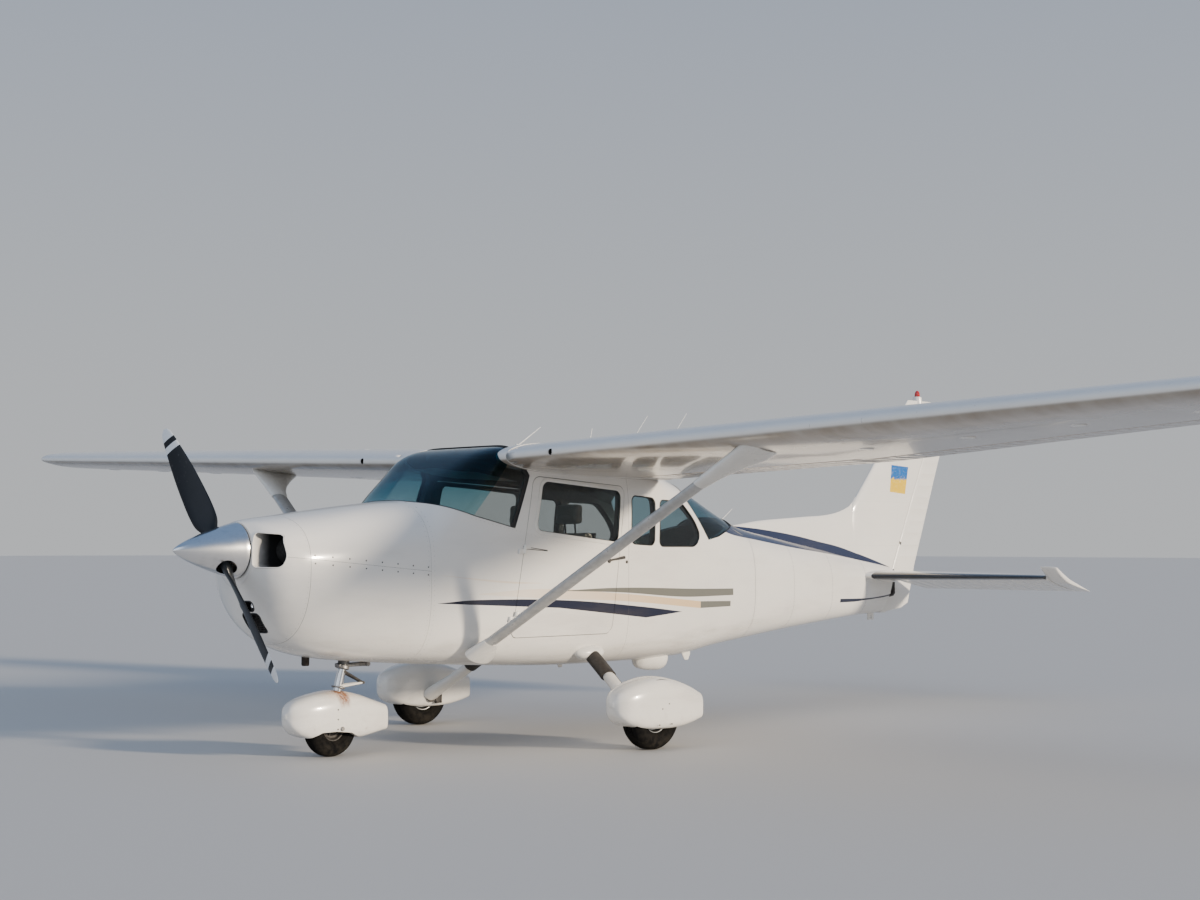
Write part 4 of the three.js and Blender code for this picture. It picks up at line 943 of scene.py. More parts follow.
def hub(name, wheel, side, bore):
    rim, half = wheel["rim"] - 0.4, wheel["width"] / 2
    face = [(bore, 0.7), (bore + 12, 0.7), (bore + 16, 0.66), (bore + 20, 0.52), (bore + 26, 0.42),
            (rim - 30, 0.3),
            (rim - 18, 0.3), (rim - 13, 0.36), (rim - 8, 0.56), (rim - 3, 0.615), (rim, 0.62)]
    profile = [(r, -half * w) for r, w in face] + [(r, half * w) for r, w in face[::-1]]
    origin = at(wheel["station"], side * wheel["track"], wheel["radius"])
    pieces = [turned("hub_disc", profile, origin, (0, 1, 0), 64, 28)]
    for c, s in circle(6):
        spot = origin + Vector((c, 0, s)) * (bore + 34) * MM
        reach = Vector((0, half * 0.46 * MM, 0))
        pieces.append(bar("hub_bolt", spot - reach, spot + reach, 6, sides=6))
    return merged(name, *pieces)


def leg_point(y, side):
    aft, z, _ = smooth_row(LEG_ROWS, y)
    return at(aft, side * y, z)


def main_leg(name, side):
    places = evenly(430, 1040, 26)
    radii = [smooth_at(LEG_ROWS, y, 3) for y in places]
    leg = tube("leg_tube", [leg_point(y, side) for y in places], radii, 24)
    z, track = MAIN_WHEEL["radius"], MAIN_WHEEL["track"]
    axle = bar("leg_axle", at(MAIN_WHEEL["station"], side * 1030, z),
               at(MAIN_WHEEL["station"], side * (track + 70), z),
               18, sides=24)
    return merged(f"main_leg_{name}_tube", leg, axle)


# Sleeve round a part of the leg: the white fairing low down and the dark boot above it
def leg_sleeve(name, side, inner, outer, wide, proud):
    places = evenly(inner, outer, 16)
    rings = []
    for i, y in enumerate(places):
        point = leg_point(min(y, 1040), side)
        along = (leg_point(min(y + 20, 1040), side) - leg_point(min(y, 1020) - 20, side)).normalized()
        aft = (Vector((-1, 0, 0)) + along * along.x).normalized()
        over = along.cross(aft)
        radius = smooth_at(LEG_ROWS, min(y, 1040), 3) + proud * (1 if i else 0.3)
        chord = radius * (wide + 0.3 * i / len(places))
        rings.append([point + aft * (chord * c * MM) + over * (radius * s * MM) for c, s in circle(32)])
    return loft(name, rings, 50)


# A point at a distance up the steering line from the axle
def steer_point(distance, aft=0, y=0):
    up, back = math.cos(NOSE_RAKE) * distance, math.sin(NOSE_RAKE) * distance
    return at(NOSE_WHEEL["station"] + back + aft, y, NOSE_WHEEL["radius"] + up)


# Propeller. Columns: radius, chord, thickness, blade angle in degrees
BLADE_ROWS = [
    (40, 70, 68, 60), (150, 100, 54, 52), (200, 140, 42, 45), (260, 158, 33, 40), (380, 165, 24, 33),
    (600, 150, 16, 25),
    (800, 112, 11, 20), (920, 78, 8, 18), (950, 52, 6, 17.5), (962, 25, 5, 17.5), (965, 12, 4, 17.5),
]
PROP_STATION = 317
PROP_LEAN = math.radians(-39)
SPINNER_BASE = 425
SPINNER_RADIUS = 170
BLADE_POINTS = 28


def shaft_turn(point, way):
    c, s = math.cos(PROP_LEAN), math.sin(PROP_LEAN)
    y, z = way * point.y, way * point.z
    return at(PROP_STATION, 0, THRUST_Z) + Vector((point.x, y * c + z * s, z * c - y * s)) * MM


def blade(way):
    rings = []
    for radius in [40, 95, 150] + evenly(170, 930, 38) + [940, 948, 955, 960, 963, 965]:
        chord, thick, angle = smooth_row(BLADE_ROWS, radius)
        turn = math.radians(angle)
        flat = min(1, max(0, (radius - 150) / 200))
        ring = []
        for c, s in circle(BLADE_POINTS):
            u, w = 0.5 * chord * c, 0.5 * thick * s
            w *= 1 - 0.35 * flat * (1 if w < 0 else 0)
            point = Vector((u * math.sin(turn) + w * math.cos(turn), w * math.sin(turn) - u * math.cos(turn),
                            radius))
            ring.append(shaft_turn(point, way))
        rings.append(ring)
    return loft("blade", rings, 60)


def propeller():
    hub_profile = [(0, -126), (70, -126), (72, -122), (72, 70), (66, 78), (0, 80)]
    middle = turned("prop_hub", hub_profile, at(PROP_STATION, 0, THRUST_Z), (1, 0, 0), 48)
    return merged("propeller_blades", blade(1), blade(-1), middle)


def spinner():
    outer, inner = [], []
    for s in evenly(0, 1, 28):
        share = s ** 1.6
        radius = SPINNER_RADIUS * share ** 0.72 * (1 - 0.035 * share * share) / 0.965
        outer.append((radius, PROP_STATION - share * SPINNER_BASE))
        inner.append((max(radius - 6, 0), PROP_STATION - share * (SPINNER_BASE - 9) - 10 * (1 - share)))
    base = PROP_STATION - SPINNER_BASE
    rim = [(SPINNER_RADIUS - 1, base - 1.5), (SPINNER_RADIUS - 4, base - 3), (0, base - 3), (0, base + 6)]
    profile = outer[:-1] + [(SPINNER_RADIUS, base + 3), (SPINNER_RADIUS, base)] + rim + inner[1:-1][::-1]
    piece = turned("spinner_cone", profile, at(PROP_STATION, 0, THRUST_Z), (1, 0, 0), 96, 40)
    for way in (1, -1):
        ends = [shaft_turn(Vector((0, 0, reach)), way) for reach in (60, 260)]
        tool = bar("slot_tool", *ends, 60, sides=40)
        cut(piece, tool, mark=False)
        drop(tool)
    return soften(piece, 40)


# Near-black plate in the gap behind the spinner, a painted shade for the dark gap between spinner and cowl
def back_plate():
    profile = [(100, -116), (167, -116), (167, -109), (100, -109)]
    return turned("back_plate", profile, at(PROP_STATION, 0, THRUST_Z), (1, 0, 0), 96)


# Glass, each pane a little inside its opening
def pane(name, source, corners, side=0, radius=0):
    outline = grown(corners, -1)
    tool = one_side("pane_tool", outline, side, radius) if side else across("pane_tool", outline)
    piece = panel(name, source, [tool], thick=4)
    drop(tool)
    return piece


# Where the fuselage's side lies at a station and a height
def on_side(aft, z, side, out=SKIN_OUT):
    top, bottom, half, widest, upper, lower = smooth_row(BODY_ROWS, aft)
    reach, power = (top - widest, upper) if z > widest else (widest - bottom, lower)
    share = min(abs(z - widest) / (reach + out), 0.999)
    return at(aft, side * (half + out) * (1 - share**power) ** (1 / power), z)


# Small domed fasteners. Spots are a place and the way that it faces
def studs(name, spots, radius=5, height=2):
    profile = [(0, -2), (radius, -2), (radius, height * 0.4), (radius * 0.7, height), (0, height)]
    return merged(name, *(turned("stud", profile, spot, way, 10) for spot, way in spots))


def cowl_studs():
    (a, low_a), (b, low_b) = COWL_SPLIT
    spots = []
    for side in SIDES.values():
        for aft in evenly(716, 1540, 7):
            middle = low_a + (low_b - low_a) * (aft - a) / (b - a)
            spots += [(on_side(aft, middle + step, side), (0.05, side, 0)) for step in (-24, 24)]
    return studs("cowl_studs", spots)


# Ducts behind the openings in the cowl
def drop_end(piece, aft):
    far = at(aft, 0, 0).x
    delete_faces(piece, lambda face: abs(face.center.x - far) < 1e-4 and abs(face.normal.x) > 0.99)


# A mouth with a rolled lip, and a throat that is closed at its rear
def duct(name, corners, middle, depth, skin):
    tool = front_prism("mouth_tool", corners, INLET_DEPTH["front"], middle, depth["radius"])
    mouth = sheet_of("mouth", tool, [skin])
    lip = bead("mouth_lip", mouth, 4)
    throat = front_prism(f"{name}_throat", corners, middle - 1, depth["end"], depth["radius"])
    for sheet, end in ((mouth, middle), (throat, middle - 1)):
        drop_end(sheet, end)
        modify(sheet, "SOLIDIFY", thickness=2.5 * MM, offset=1)
    drop(tool)
    lip.name = f"{name}_lip"
    mouth.name = f"{name}_mouth"
    return lip, soften(mouth, 50), soften(throat)


# Cooling fins of one cylinder, on an axis across the nose
def cylinder_fins(side):
    profile = [(40, 0)]
    for k in range(14):
        profile += [(r, 10 * k + u) for r, u in ((76, 1), (76, 4), (57, 5), (57, 10))]
    return turned("cylinder_fins", profile + [(40, 141)], at(674, side * 190, THRUST_Z), (0, side, 0), 40)


def lamp(y):
    place = at(548, y, 955)
    bowl = [(0, -4), (28, 12), (30, 12), (30, 16), (27, 16), (20, 8), (0, 0)]
    return turned("lamp_bowl", bowl, place, (1, 0, 0), 32)


def intake_mesh():
    bars = [bar("mesh_bar", at(596, y, 796), at(596, y, 910), 1.6, sides=6) for y in range(-14, 127, 14)]
    bars += [bar("mesh_bar", at(594, -22, z), at(594, 132, z), 1.6, sides=6) for z in range(806, 910, 13)]
    return merged("intake_mesh", *bars)


# Rubber along an opening's edge, and the raised frame of a door's window
def seal(name, skin, tool, radius=4):
    sheet = sheet_of("seal_sheet", skin, [tool])
    piece = bead(name, sheet, radius)
    drop(sheet)
    return piece


def window_frame(name, skin, side):
    outer = one_side("frame_tool", grown(DOOR_WINDOW, 25), side, 72)
    inner = one_side("frame_tool", DOOR_WINDOW, side, 50)
    piece = sheet_of(f"window_frame_{name}", skin, [outer], [inner])
    modify(piece, "SOLIDIFY", thickness=4.5 * MM, offset=1)
    modify(piece, "BEVEL", width=1.6 * MM, segments=2, limit_method="ANGLE", angle_limit=math.radians(50))
    drop(outer, inner)
    return soften(piece, 40)


# Dark strip along the windshield's rear edge
def windshield_strip(skin):
    outer, inner = across("strip_tool", grown(WINDSHIELD, -2)), across("strip_tool", grown(WINDSHIELD, -27))
    front = between("strip_tool", 1500, 2212)
    piece = sheet_of("windshield_strip", skin, [outer], [inner, front])
    modify(piece, "SOLIDIFY", thickness=3 * MM, offset=1)
    drop(outer, inner, front)
    return soften(piece, 40)


# Door fittings
def door_fittings(name, side):
    places = ((3137, 1220, 6), (3165, 1226, 15), (3225, 1234, 17), (3286, 1242, 14))
    grip = [on_side(aft, z, side, out) for aft, z, out in places]
    lever = tube("door_lever", grip, [8, 7, 8, 11], 12)
    foot = [(0, -2), (17, -2), (17, 4), (12, 9), (0, 9)]
    lock = [(0, -2), (11, -2), (11, 3), (8, 5), (0, 5)]
    foot = turned("lever_foot", foot, on_side(3140, 1220, side), (0, side, 0), 24)
    lock = turned("door_lock", lock, on_side(3323, 1210, side), (0, side, 0), 24)
    return merged(f"door_handle_{name}", lever, foot, lock)


# Painted shadow: two black tubes along the door's front stand in for a thin white strip and the dark shadow
# line under it
def door_strip_shadow_lines(name, side):
    lines = []
    for (aft, z), (end, low) in (((2322, 1316), (2541, 1291)), ((2336, 1301), (2541, 1287))):
        points = [on_side(a, z + (low - z) * (a - aft) / (end - aft), side) for a in evenly(aft, end, 8)]
        lines.append(tube("strip_shadow_line", points, [2.4] * len(points), 8))
    return merged(f"door_strip_shadow_lines_{name}", *lines)


DOOR_HINGES = {"y": 543, "heights": (860, 1300), "half": 31.5, "radius": 10.4}


def door_edge(z):
    (low_aft, low), (high_aft, high) = DOOR[:2]
    return low_aft + (high_aft - low_aft) * (z - low) / (high - low)


# The upper leaves go aft to the door, and the lower ones forward to the post
def hinge_leaves(name, side, on_door):
    way, half = (1, DOOR_HINGES["half"]) if on_door else (-1, -DOOR_HINGES["half"])
    made = []
    for z in DOOR_HINGES["heights"]:
        corners = [(door_edge(z + up) + way * reach, z + up)
                   for up, reach in ((0, 8), (0, 50), (half, 50), (half, 8))]
        leaf = side_prism("hinge_leaf", corners, *sorted((side * 520, side * 547)))
        made.append(modify(leaf, "BEVEL", width=2 * MM, segments=2))
    return soften(merged(name, *made))


def hinge_barrels(name, side):
    half, radius = DOOR_HINGES["half"], DOOR_HINGES["radius"]
    profile = [(0, -half), (radius - 3, -half), (radius, 3 - half), (radius, half - 3), (radius - 3, half),
               (0, half)]
    lean = Vector((door_edge(0) - door_edge(1000), 0, 1000))
    spots = [at(door_edge(z), side * DOOR_HINGES["y"], z) for z in DOOR_HINGES["heights"]]
    return merged(name, *(turned("hinge_barrel", profile, spot, lean, 24) for spot in spots))


# White fairings at the strut's ends. Columns: place along the strut, chord, thickness
STRUT_FOOT_ROWS = [(-46, 262, 112), (-10, 250, 104), (30, 226, 92), (70, 188, 76), (105, 152, 62),
                   (118, 142, 59), (124, 134, 56)]
STRUT_HEAD_ROWS = [(-330, 130, 56), (-320, 134, 58), (-240, 156, 64), (-150, 204, 74), (-60, 276, 86),
                   (40, 372, 96), (115, 372, 96)]


def strut_fairing(name, side, rows, from_head):
    foot, head, along, aft, over = strut_frame(side)
    start = head if from_head else foot
    rings = []
    for place, chord, thick in rows:
        middle = start + along * (place * MM) + aft * ((chord - 134) * 0.42 * MM)
        turns = circle(48)
        rings.append([middle + (aft * (chord * c) + over * (thick * s)) * (0.5 * MM) for c, s in turns])
    return loft(f"{name}_fairing", rings, 60)


# Round bulge where the main leg leaves the fuselage
def leg_bulge(name, side):
    aft, y, z = LEG_BULGE["place"]
    size = [radius * MM for radius in LEG_BULGE["radii"]]
    piece = add(f"leg_bulge_{name}", bpy.ops.mesh.primitive_uv_sphere_add, segments=64, ring_count=32,
                radius=1, location=at(aft, side * y, z), scale=size)
    return soften(piece, 60)


# Brake beside the leg's foot: caliper, its bracket, and the hose along the leg
def brake(name, side):
    aft, z = MAIN_WHEEL["station"], MAIN_WHEEL["radius"]
    caliper = block("caliper", at(aft + 92, side * 1004, z - 62), at(aft + 28, side * 1022, z + 8), 6)
    plate = turned("brake_plate", [(0, -6), (52, -6), (52, 2), (48, 4), (0, 4)], at(aft, side * 1018, z),
                   (0, side, 0), 32)
    bolts = studs("caliper_bolts", [(at(aft + 60 + u, side * 1004, z - 28 + w), (0, -side, 0)) for u, w in
                                    ((-20, -22), (20, -22), (-20, 22), (20, 22))], 6, 7)
    points = [at(aft + 60, side * 1000, z + 4), at(aft + 66, side * 985, z + 40)]
    points += [leg_point(y, side) + Vector((-0.03 - 0.00002 * y, 0, 0.02)) for y in (900, 800, 700, 600, 520)]
    hose = tube("brake_hose", points, [5] * len(points), 10)
    return merged(f"brake_{name}", caliper, plate, bolts, hose)


def brake_disc(name, side):
    half = 0.5 * MAIN_WHEEL["width"]
    origin = at(MAIN_WHEEL["station"], side * MAIN_WHEEL["track"], MAIN_WHEEL["radius"])
    reach = half * 0.68
    discs = []
    for way in (1, -1):
        low, high = sorted((way * reach, way * (reach + 5)))
        discs.append(turned("disc", [(44, low), (88, low), (88, high), (44, high)], origin, (0, 1, 0), 64))
    return merged(f"brake_disc_{name}", *discs)


def pant_studs(name, wheel, side, half, spots):
    ways = (side,) if side else (1, -1)
    track = side * wheel["track"]
    return studs(name, [(at(wheel["station"] + u, track + way * half, z), (0, way, 0)) for way in ways
                        for u, z in spots])


# Nose leg: everything on the steering line is turned about it
def steered(name, profile, steps=40):
    return turned(name, profile, steer_point(0), steer_point(1) - steer_point(0), steps)


def nose_leg():
    profile = [(0, 372.4), (36, 372.4), (44, 376), (44, 394), (41, 398), (35, 399), (34, 420),
               (38, 424), (38, 436), (34, 440), (34, 560), (40, 566), (40, 636), (0, 640)]
    pieces = [steered("leg_tube", profile)]
    top = steer_point(600)
    pieces.append(block("leg_bracket", (at(FIREWALL - 1, 0, 0).x, -0.06, top.z - 0.09),
                        (top.x + 0.02, 0.06, top.z + 0.03), 8))
    pieces.append(block("damper_mount", at(1450, -26, 553), at(1210, 26, 578), 6))
    pieces.append(bar("damper", at(1436, -36, 566), at(1436, 36, 566), 15, sides=20))
    for side in (1, -1):
        pieces.append(bar("leg_brace", at(1560, side * 52, 720), steer_point(470, y=side * 26), 11, sides=12))
    return merged("nose_leg", *pieces)


def piston():
    return steered("nose_piston", [(0, 205), (27, 205), (27, 369), (24.5, 371.7), (0, 371.7)], 48)


def fork():
    flange = [(27.3, 250), (41, 250), (44, 252), (44, 257), (41, 259), (27.3, 259)]
    pieces = [steered("piston_flange", flange)]
    arm = 81
    crown = steer_point(205)
    reach = Vector((30, arm - 2, 12)) * MM
    pieces.append(block("fork_crown", crown - reach, crown + reach, 7))
    for side in (1, -1):
        foot = steer_point(0, y=side * arm)
        spine = [steer_point(205, y=side * arm), steer_point(100, y=side * arm), foot]
        pieces.append(tube("fork_arm", spine, [11, 11.5, 12], 20))
        pieces.append(bar("flange_bolt", steer_point(246, y=side * 35), steer_point(264, y=side * 35),
                          5, sides=6))
    axle = [(0, -137), (11, -137), (14, -132), (14, 132), (11, 137), (0, 137)]
    pieces.append(turned("nose_axle", axle, steer_point(0), (0, 1, 0), 32))
    return merged("fork_set", *pieces)


TORQUE_APEX = (1414, 0, 448)


def torque_arm(name, distance, radius, thin, spread):
    apex = at(*TORQUE_APEX)
    sides = [bar("link_side", steer_point(distance, 10, side * spread), apex + Vector((0, side * 7 * MM, 0)),
                 radius, thin, 12)
             for side in (1, -1)]
    eye = bar("link_eye", steer_point(distance, 8, -spread - 6), steer_point(distance, 8, spread + 6),
              radius + 1.5, sides=16)
    return merged(name, *sides, eye)


def torque_pin():
    apex = at(*TORQUE_APEX)
    return bar("torque_pin", apex + Vector((0, -17 * MM, 0)), apex + Vector((0, 17 * MM, 0)), 9, sides=20)


# Fittings outside
EXHAUST = {"station": 1017, "y": -70, "low": 568, "high": 760, "radius": 25}


def exhaust():
    low, high, radius = 0, EXHAUST["high"] - EXHAUST["low"], EXHAUST["radius"]
    profile = [(radius - 7, low), (radius - 4, low), (radius - 1, 5), (radius, 12), (radius, high),
               (radius - 3, high),
               (radius - 3, 14), (radius - 5, 6)]
    foot = at(EXHAUST["station"], EXHAUST["y"], EXHAUST["low"])
    return turned("exhaust_stack", profile, foot, (0, 0, 1), 48)


BELLY_ROWS = [(3760, 20, 40), (3800, 60, 75), (3920, 90, 95), (4040, 80, 90), (4100, 20, 45)]


def belly_box():
    rings = []
    for aft in evenly(3760, 4100, 20):
        half, deep = smooth_row(BELLY_ROWS, aft)
        rings.append([at(aft, 190 + half * c, 510 + deep * s) for c, s in circle(40)])
    return loft("belly_box", rings, 60)


# A blade aerial under the fuselage. Sizes: length, depth
def belly_blade(aft, y, z, length, depth):
    rings = []
    for drop_down, share in ((-30, 1), (0, 1), (depth * 0.5, 0.72), (depth, 0.42)):
        edge = at(aft + (1 - share) * length * 0.6, y, z - drop_down)
        foil = Foil(edge, length * share, 0.16, upright=True)
        rings.append(foil_ring(foil, 0, 1, count=14))
    return loft("belly_blade", rings, 60)


# Aerials. Columns: station, y, skin height, lean aft, rise, radius
AERIALS = {
    "front": (2575, 200, 1992, 225, 150, 5),
    "middle": (3405, 60, 1940, 50, 231, 5),
    "rear_left": (3920, 200, 1832, 415, 490, 4),
    "rear_right": (3920, -200, 1832, 415, 490, 4),
    "tail": (4930, 0, 1487, 180, 130, 5),
}


def aerial(name, row):
    aft, y, z, lean, rise_up, radius = row
    start, end = at(aft, y, z + 8), at(aft + lean, y, z + rise_up)
    points = [start.lerp(end, t) for t in (0, 0.2, 0.6, 1)]
    rod = tube("aerial_rod", points, [radius, radius, radius * 0.8, radius * 0.55], 12)
    profile = [(0, -35), (14, -35), (14, 2), (13, 10), (9.5, 21), (7, 24), (0, 24)]
    return merged(f"aerial_{name}_rod", turned("aerial_foot", profile, at(aft, y, z), (0, 0, 1), 24), rod)


def beacon_lens():
    profile = [(0, -2), (24, -2), (24, 20), (23, 27), (20, 38), (16, 46), (10, 52), (5, 55), (0, 56)]
    return turned("beacon_lens", profile, at(BEACON[0], 0, 2664.3), (0, 0, 1), 40)


def wing_side(y, share, side, upper=True):
    foil = wing_foil(y, side)
    height = foil.middle(share) + foil.half(share) * (1 if upper else -1)
    return foil.point(share * foil.chord, height), foil.up * (1 if upper else -1)


# Round covers under the wing and the fuel cap on its top
def wing_covers(name, side):
    flat = [(0, -3), (52, -3), (52, 1.2), (49, 2.2), (0, 2.2)]
    made = [turned("cover", flat, *wing_side(y, 0.42, side, False), 32)
            for y in (1150, 1860, 2930, 3650, 4360, 5070)]
    cap = [(0, -3), (48, -3), (48, 3), (44, 5), (40, 5), (38, 3), (12, 3), (10, 6), (0, 6)]
    made.append(turned("fuel_cap", cap, *wing_side(1500, 0.3, side), 40))
    return merged(f"wing_covers_{name}", *made)


def wing_vent(name, side):
    foil = wing_foil(VENT_Y, side)
    ring = [(17, -30), (21, -30), (21, -12), (20, -9), (17.5, -9)]
    cup = [(0, -70), (18, -70), (18, -34), (16, -34), (0, -36)]
    made = [turned("vent", profile, foil.edge, (1, 0, 0), 32) for profile in (ring, cup)]
    return merged(f"wing_vent_{name}", *made)


def tip_lamp(name, side):
    piece = add(f"tip_lamp_{name}", bpy.ops.mesh.primitive_uv_sphere_add, segments=32, ring_count=16,
                radius=1, location=at(2222, side * (HALF_SPAN - 22), 2086), scale=(0.045, 0.018, 0.015))
    return soften(piece, 60)


# Arm that works the elevator, beside the rudder's foot
def elevator_arm():
    spine = [at(7130, 74, 893), at(7192, 76, 905), at(7216, 72, 948), at(7222, 66, 1012)]
    arm = tube("arm", spine, [11, 15, 15, 10], 16)
    plate = block("arm_plate", at(7236, 56, 930), at(7180, 76, 1014), 5)
    boss = [(0, -12), (19, -12), (19, 10), (14, 14), (0, 14)]
    boss = turned("arm_boss", boss, at(7205, 74, 925), (0, 1, 0), 24)
    return merged("elevator_arm", arm, plate, boss)


# Cabin
PANEL_OUTLINE = [(1932, 1132), (1990, 1132), (1960, 1465), (2010, 1500), (1700, 1545), (1700, 1500),
                 (1900, 1470)]
PANEL_FACE = ((1990, 1130), (1960, 1465))
DIALS = [(y, z, 39) for y in (365, 275, 185) for z in (1415, 1322)]
DIALS += [(100, 1432, 27), (100, 1368, 27), (-215, 1415, 39), (-305, 1415, 39), (-390, 1420, 27),
          (-215, 1335, 27)]


def on_panel(y, z):
    (low_aft, low), (high_aft, high) = PANEL_FACE
    return at(low_aft + (high_aft - low_aft) * (z - low) / (high - low), y, z)


def instrument_panel(room):
    piece = side_prism("panel_board", PANEL_OUTLINE, -470, 470)
    modify(piece, "BEVEL", width=9 * MM, segments=3, limit_method="ANGLE", angle_limit=math.radians(40))
    cut(piece, room, "INTERSECT", mark=False)
    return soften(piece)


def panel_way():
    (low_aft, low), (high_aft, high) = PANEL_FACE
    return Vector((low - high, 0, low_aft - high_aft)).normalized()


def dials():
    rims, faces = [], []
    for y, z, radius in DIALS:
        rim = [(radius, -3), (radius + 7, -3), (radius + 7, 4), (radius + 3, 7), (radius, 5)]
        rims.append(turned("rim", rim, on_panel(y, z), panel_way(), 32))
        faces.append(turned("face", [(0, -2), (radius, -2), (radius, 1.5), (0, 1.5)], on_panel(y, z),
                            panel_way(), 32))
        faces.append(bar("needle", on_panel(y, z) + panel_way() * 0.0025,
                         on_panel(y + radius * 0.5, z + radius * 0.6)
                         + panel_way() * 0.0025, 1.6, 0.8, 6))
    for z in (1425, 1385, 1345, 1300, 1255):
        centre = on_panel(-55, z)
        rims.append(block("radio", centre + Vector((-0.012, -0.082, -0.017)),
                          centre + Vector((0.02, 0.082, 0.017)), 3))
        for y in (-118, 8):
            rims.append(turned("knob", [(0, 0), (8, 0), (8, 14), (6, 16), (0, 16)], on_panel(y, z),
                               panel_way(), 16))
    return merged("panel_rims", *rims), merged("dial_faces", *faces)


def yoke(name, y):
    hub_z = THRUST_Z
    shaft = bar("yoke_shaft", at(1950, y, hub_z), at(2180, y, hub_z), 13, sides=24)
    middle = block("yoke_hub", at(2204, y - 34, hub_z - 26), at(2168, y + 34, hub_z + 24), 9)
    points = [at(aft, y + u, z) for aft, u, z in (
        (2186, -140, 1380), (2189, -139, 1340), (2190, -131, 1303), (2190, -110, 1288), (2190, -60, 1290),
        (2190, 60, 1290),
        (2190, 110, 1288), (2190, 131, 1303), (2189, 139, 1340), (2186, 140, 1380))]
    grips = tube("yoke_bar", points, [13, 15, 15, 14, 13, 13, 14, 15, 15, 13], 20)
    return merged(f"yoke_{name}", shaft, middle, grips)


# Seats, seen from the side: cushion and back, each a little inside its place
FRONT_CUSHION = [(2514, 842), (2514, 908), (2640, 914), (2882, 892), (2884, 832)]
FRONT_BACK = [(2914, 850), (3018, 1422), (3102, 1415), (3012, 850)]
FRONT_HEADREST = [(3004, 1478), (3018, 1612), (3078, 1606), (3076, 1472)]
REAR_CUSHION = [(3480, 846), (3474, 914), (3812, 898), (3816, 846)]
REAR_BACK = [(3842, 875), (3962, 1312), (4044, 1306), (3966, 862)]
SEAT_Y = 236
SEAT_HALF = 198
SEAT_SEAMS = (-118, 118)
BENCH_HALF = 412
BENCH_SEAMS = (-270, -135, 0, 135, 270)


# Remeshed, blown up by a cloth simulation with gravity off, and kept near its first shape
def stuffed(piece, grain, most):
    modify(piece, "REMESH", mode="VOXEL", voxel_size=grain * MM)
    start = [vertex.co.copy() for vertex in piece.data.vertices]
    alone(piece)
    bpy.ops.object.modifier_add(type="CLOTH")
    settings = piece.modifiers[-1].settings
    settings.use_pressure = True
    settings.uniform_pressure_force = 4
    settings.effector_weights.gravity = 0
    for moment in range(1, 21):
        bpy.context.scene.frame_set(moment)
    bpy.ops.object.modifier_apply(modifier=piece.modifiers[-1].name)
    bpy.context.scene.frame_set(1)
    for vertex, before in zip(piece.data.vertices, start):
        moved = vertex.co - before
        length = moved.length / MM
        if length > 0.01:
            vertex.co = before + moved * (most * (1 - math.exp(-length / most)) / length)
    return piece


# Channels sewn along the seat
def sewn(piece, lines, front):
    for vertex in piece.data.vertices:
        facing = min(1, max(0, vertex.normal.dot(front) * 1.6 - 0.4))
        off = min(abs(vertex.co.y / MM - y) for y in lines)
        vertex.co -= vertex.normal * (6 * MM * facing * math.exp(-((off / 7) ** 2)))
    return piece


def cushion(name, outline, low_y, high_y, front, lines, grain=7):
    piece = side_prism(name, outline, low_y, high_y)
    with editing(piece, "EDGE"):
        bpy.ops.mesh.bevel(offset=24 * MM, segments=4, affect="EDGES")
    stuffed(piece, grain, 14)
    sewn(piece, lines, Vector(front).normalized())
    modify(piece, "SUBSURF", levels=1, render_levels=1)
    return soften(piece, 60)


def seat_frame(name, y):
    made = [block("seat_pan", at(2895, y - 188, 812), at(2520, y + 188, 834), 6)]
    shell = [(3026, 850), (3112, 1410), (3121, 1410), (3040, 850)]
    back = side_prism("seat_back_shell", shell, y - 192, y + 192)
    modify(back, "BEVEL", width=3 * MM, segments=2)
    made.append(back)
    for way in (1, -1):
        side = y + way * 140
        made.append(block("seat_rail", at(3020, side - 12, 576), at(2470, side + 12, 598), 4))
        for low, knee, high in ((2600, 2560, 2570), (2900, 2930, 2905)):
            spine = [at(low, side, 590), at(knee, side, 700), at(high, side, 822)]
            made.append(tube("seat_leg", spine, [12, 12, 12], 14))
        made.append(bar("headrest_post", at(3062, y + way * 48, 1390), at(3048, y + way * 48, 1520),
                        6, sides=12))
        made.append(tube("seat_arm", [at(2890, side, 825), at(2985, side, 850), at(3030, side, 880)],
                         [11, 11, 11], 14))
    return merged(f"seat_frame_{name}", *made)


def bench_base(room):
    piece = block("bench_base", at(3895, -425, 548), at(3486, 425, 838), 14)
    cut(piece, room, "INTERSECT", mark=False)
    return soften(piece)


# Materials: small helpers that lay out nodes
def is_socket(value):
    return isinstance(value, bpy.types.NodeSocket)


def feed(made, inputs):
    for key, value in inputs.items():
        if is_socket(value):
            made.id_data.links.new(value, made.inputs[key])
        else:
            made.inputs[key].default_value = value


# A node in the tree of its linked inputs
def node(kind, inputs, **settings):
    tree = next(value.id_data for value in inputs.values() if is_socket(value))
    made = tree.nodes.new("ShaderNode" + kind)
    for key, value in settings.items():
        setattr(made, key, value)
    feed(made, inputs)
    return made


def calc(operation, *values):
    return node("Math", dict(enumerate(values)), operation=operation).outputs[0]


# Goes smoothly from 0 at one value to 1 at another
def rise(value, low, high):
    inputs = {"Value": value, "From Min": low, "From Max": high}
    return node("MapRange", inputs, interpolation_type="SMOOTHSTEP").outputs["Result"]


def band(value, low, high, soft):
    return calc("MULTIPLY", rise(value, low - soft, low + soft), rise(value, high + soft, high - soft))


def product(first, *others):
    for other in others:
        first = calc("MULTIPLY", first, other)
    return first


def less(value, other):
    return calc("SUBTRACT", value, other)


def scaled(value, factor, plus):
    return calc("MULTIPLY_ADD", value, factor, plus)


def mixed(factor, first, second):
    return node("Mix", {0: factor, 6: first, 7: second}, data_type="RGBA").outputs[2]


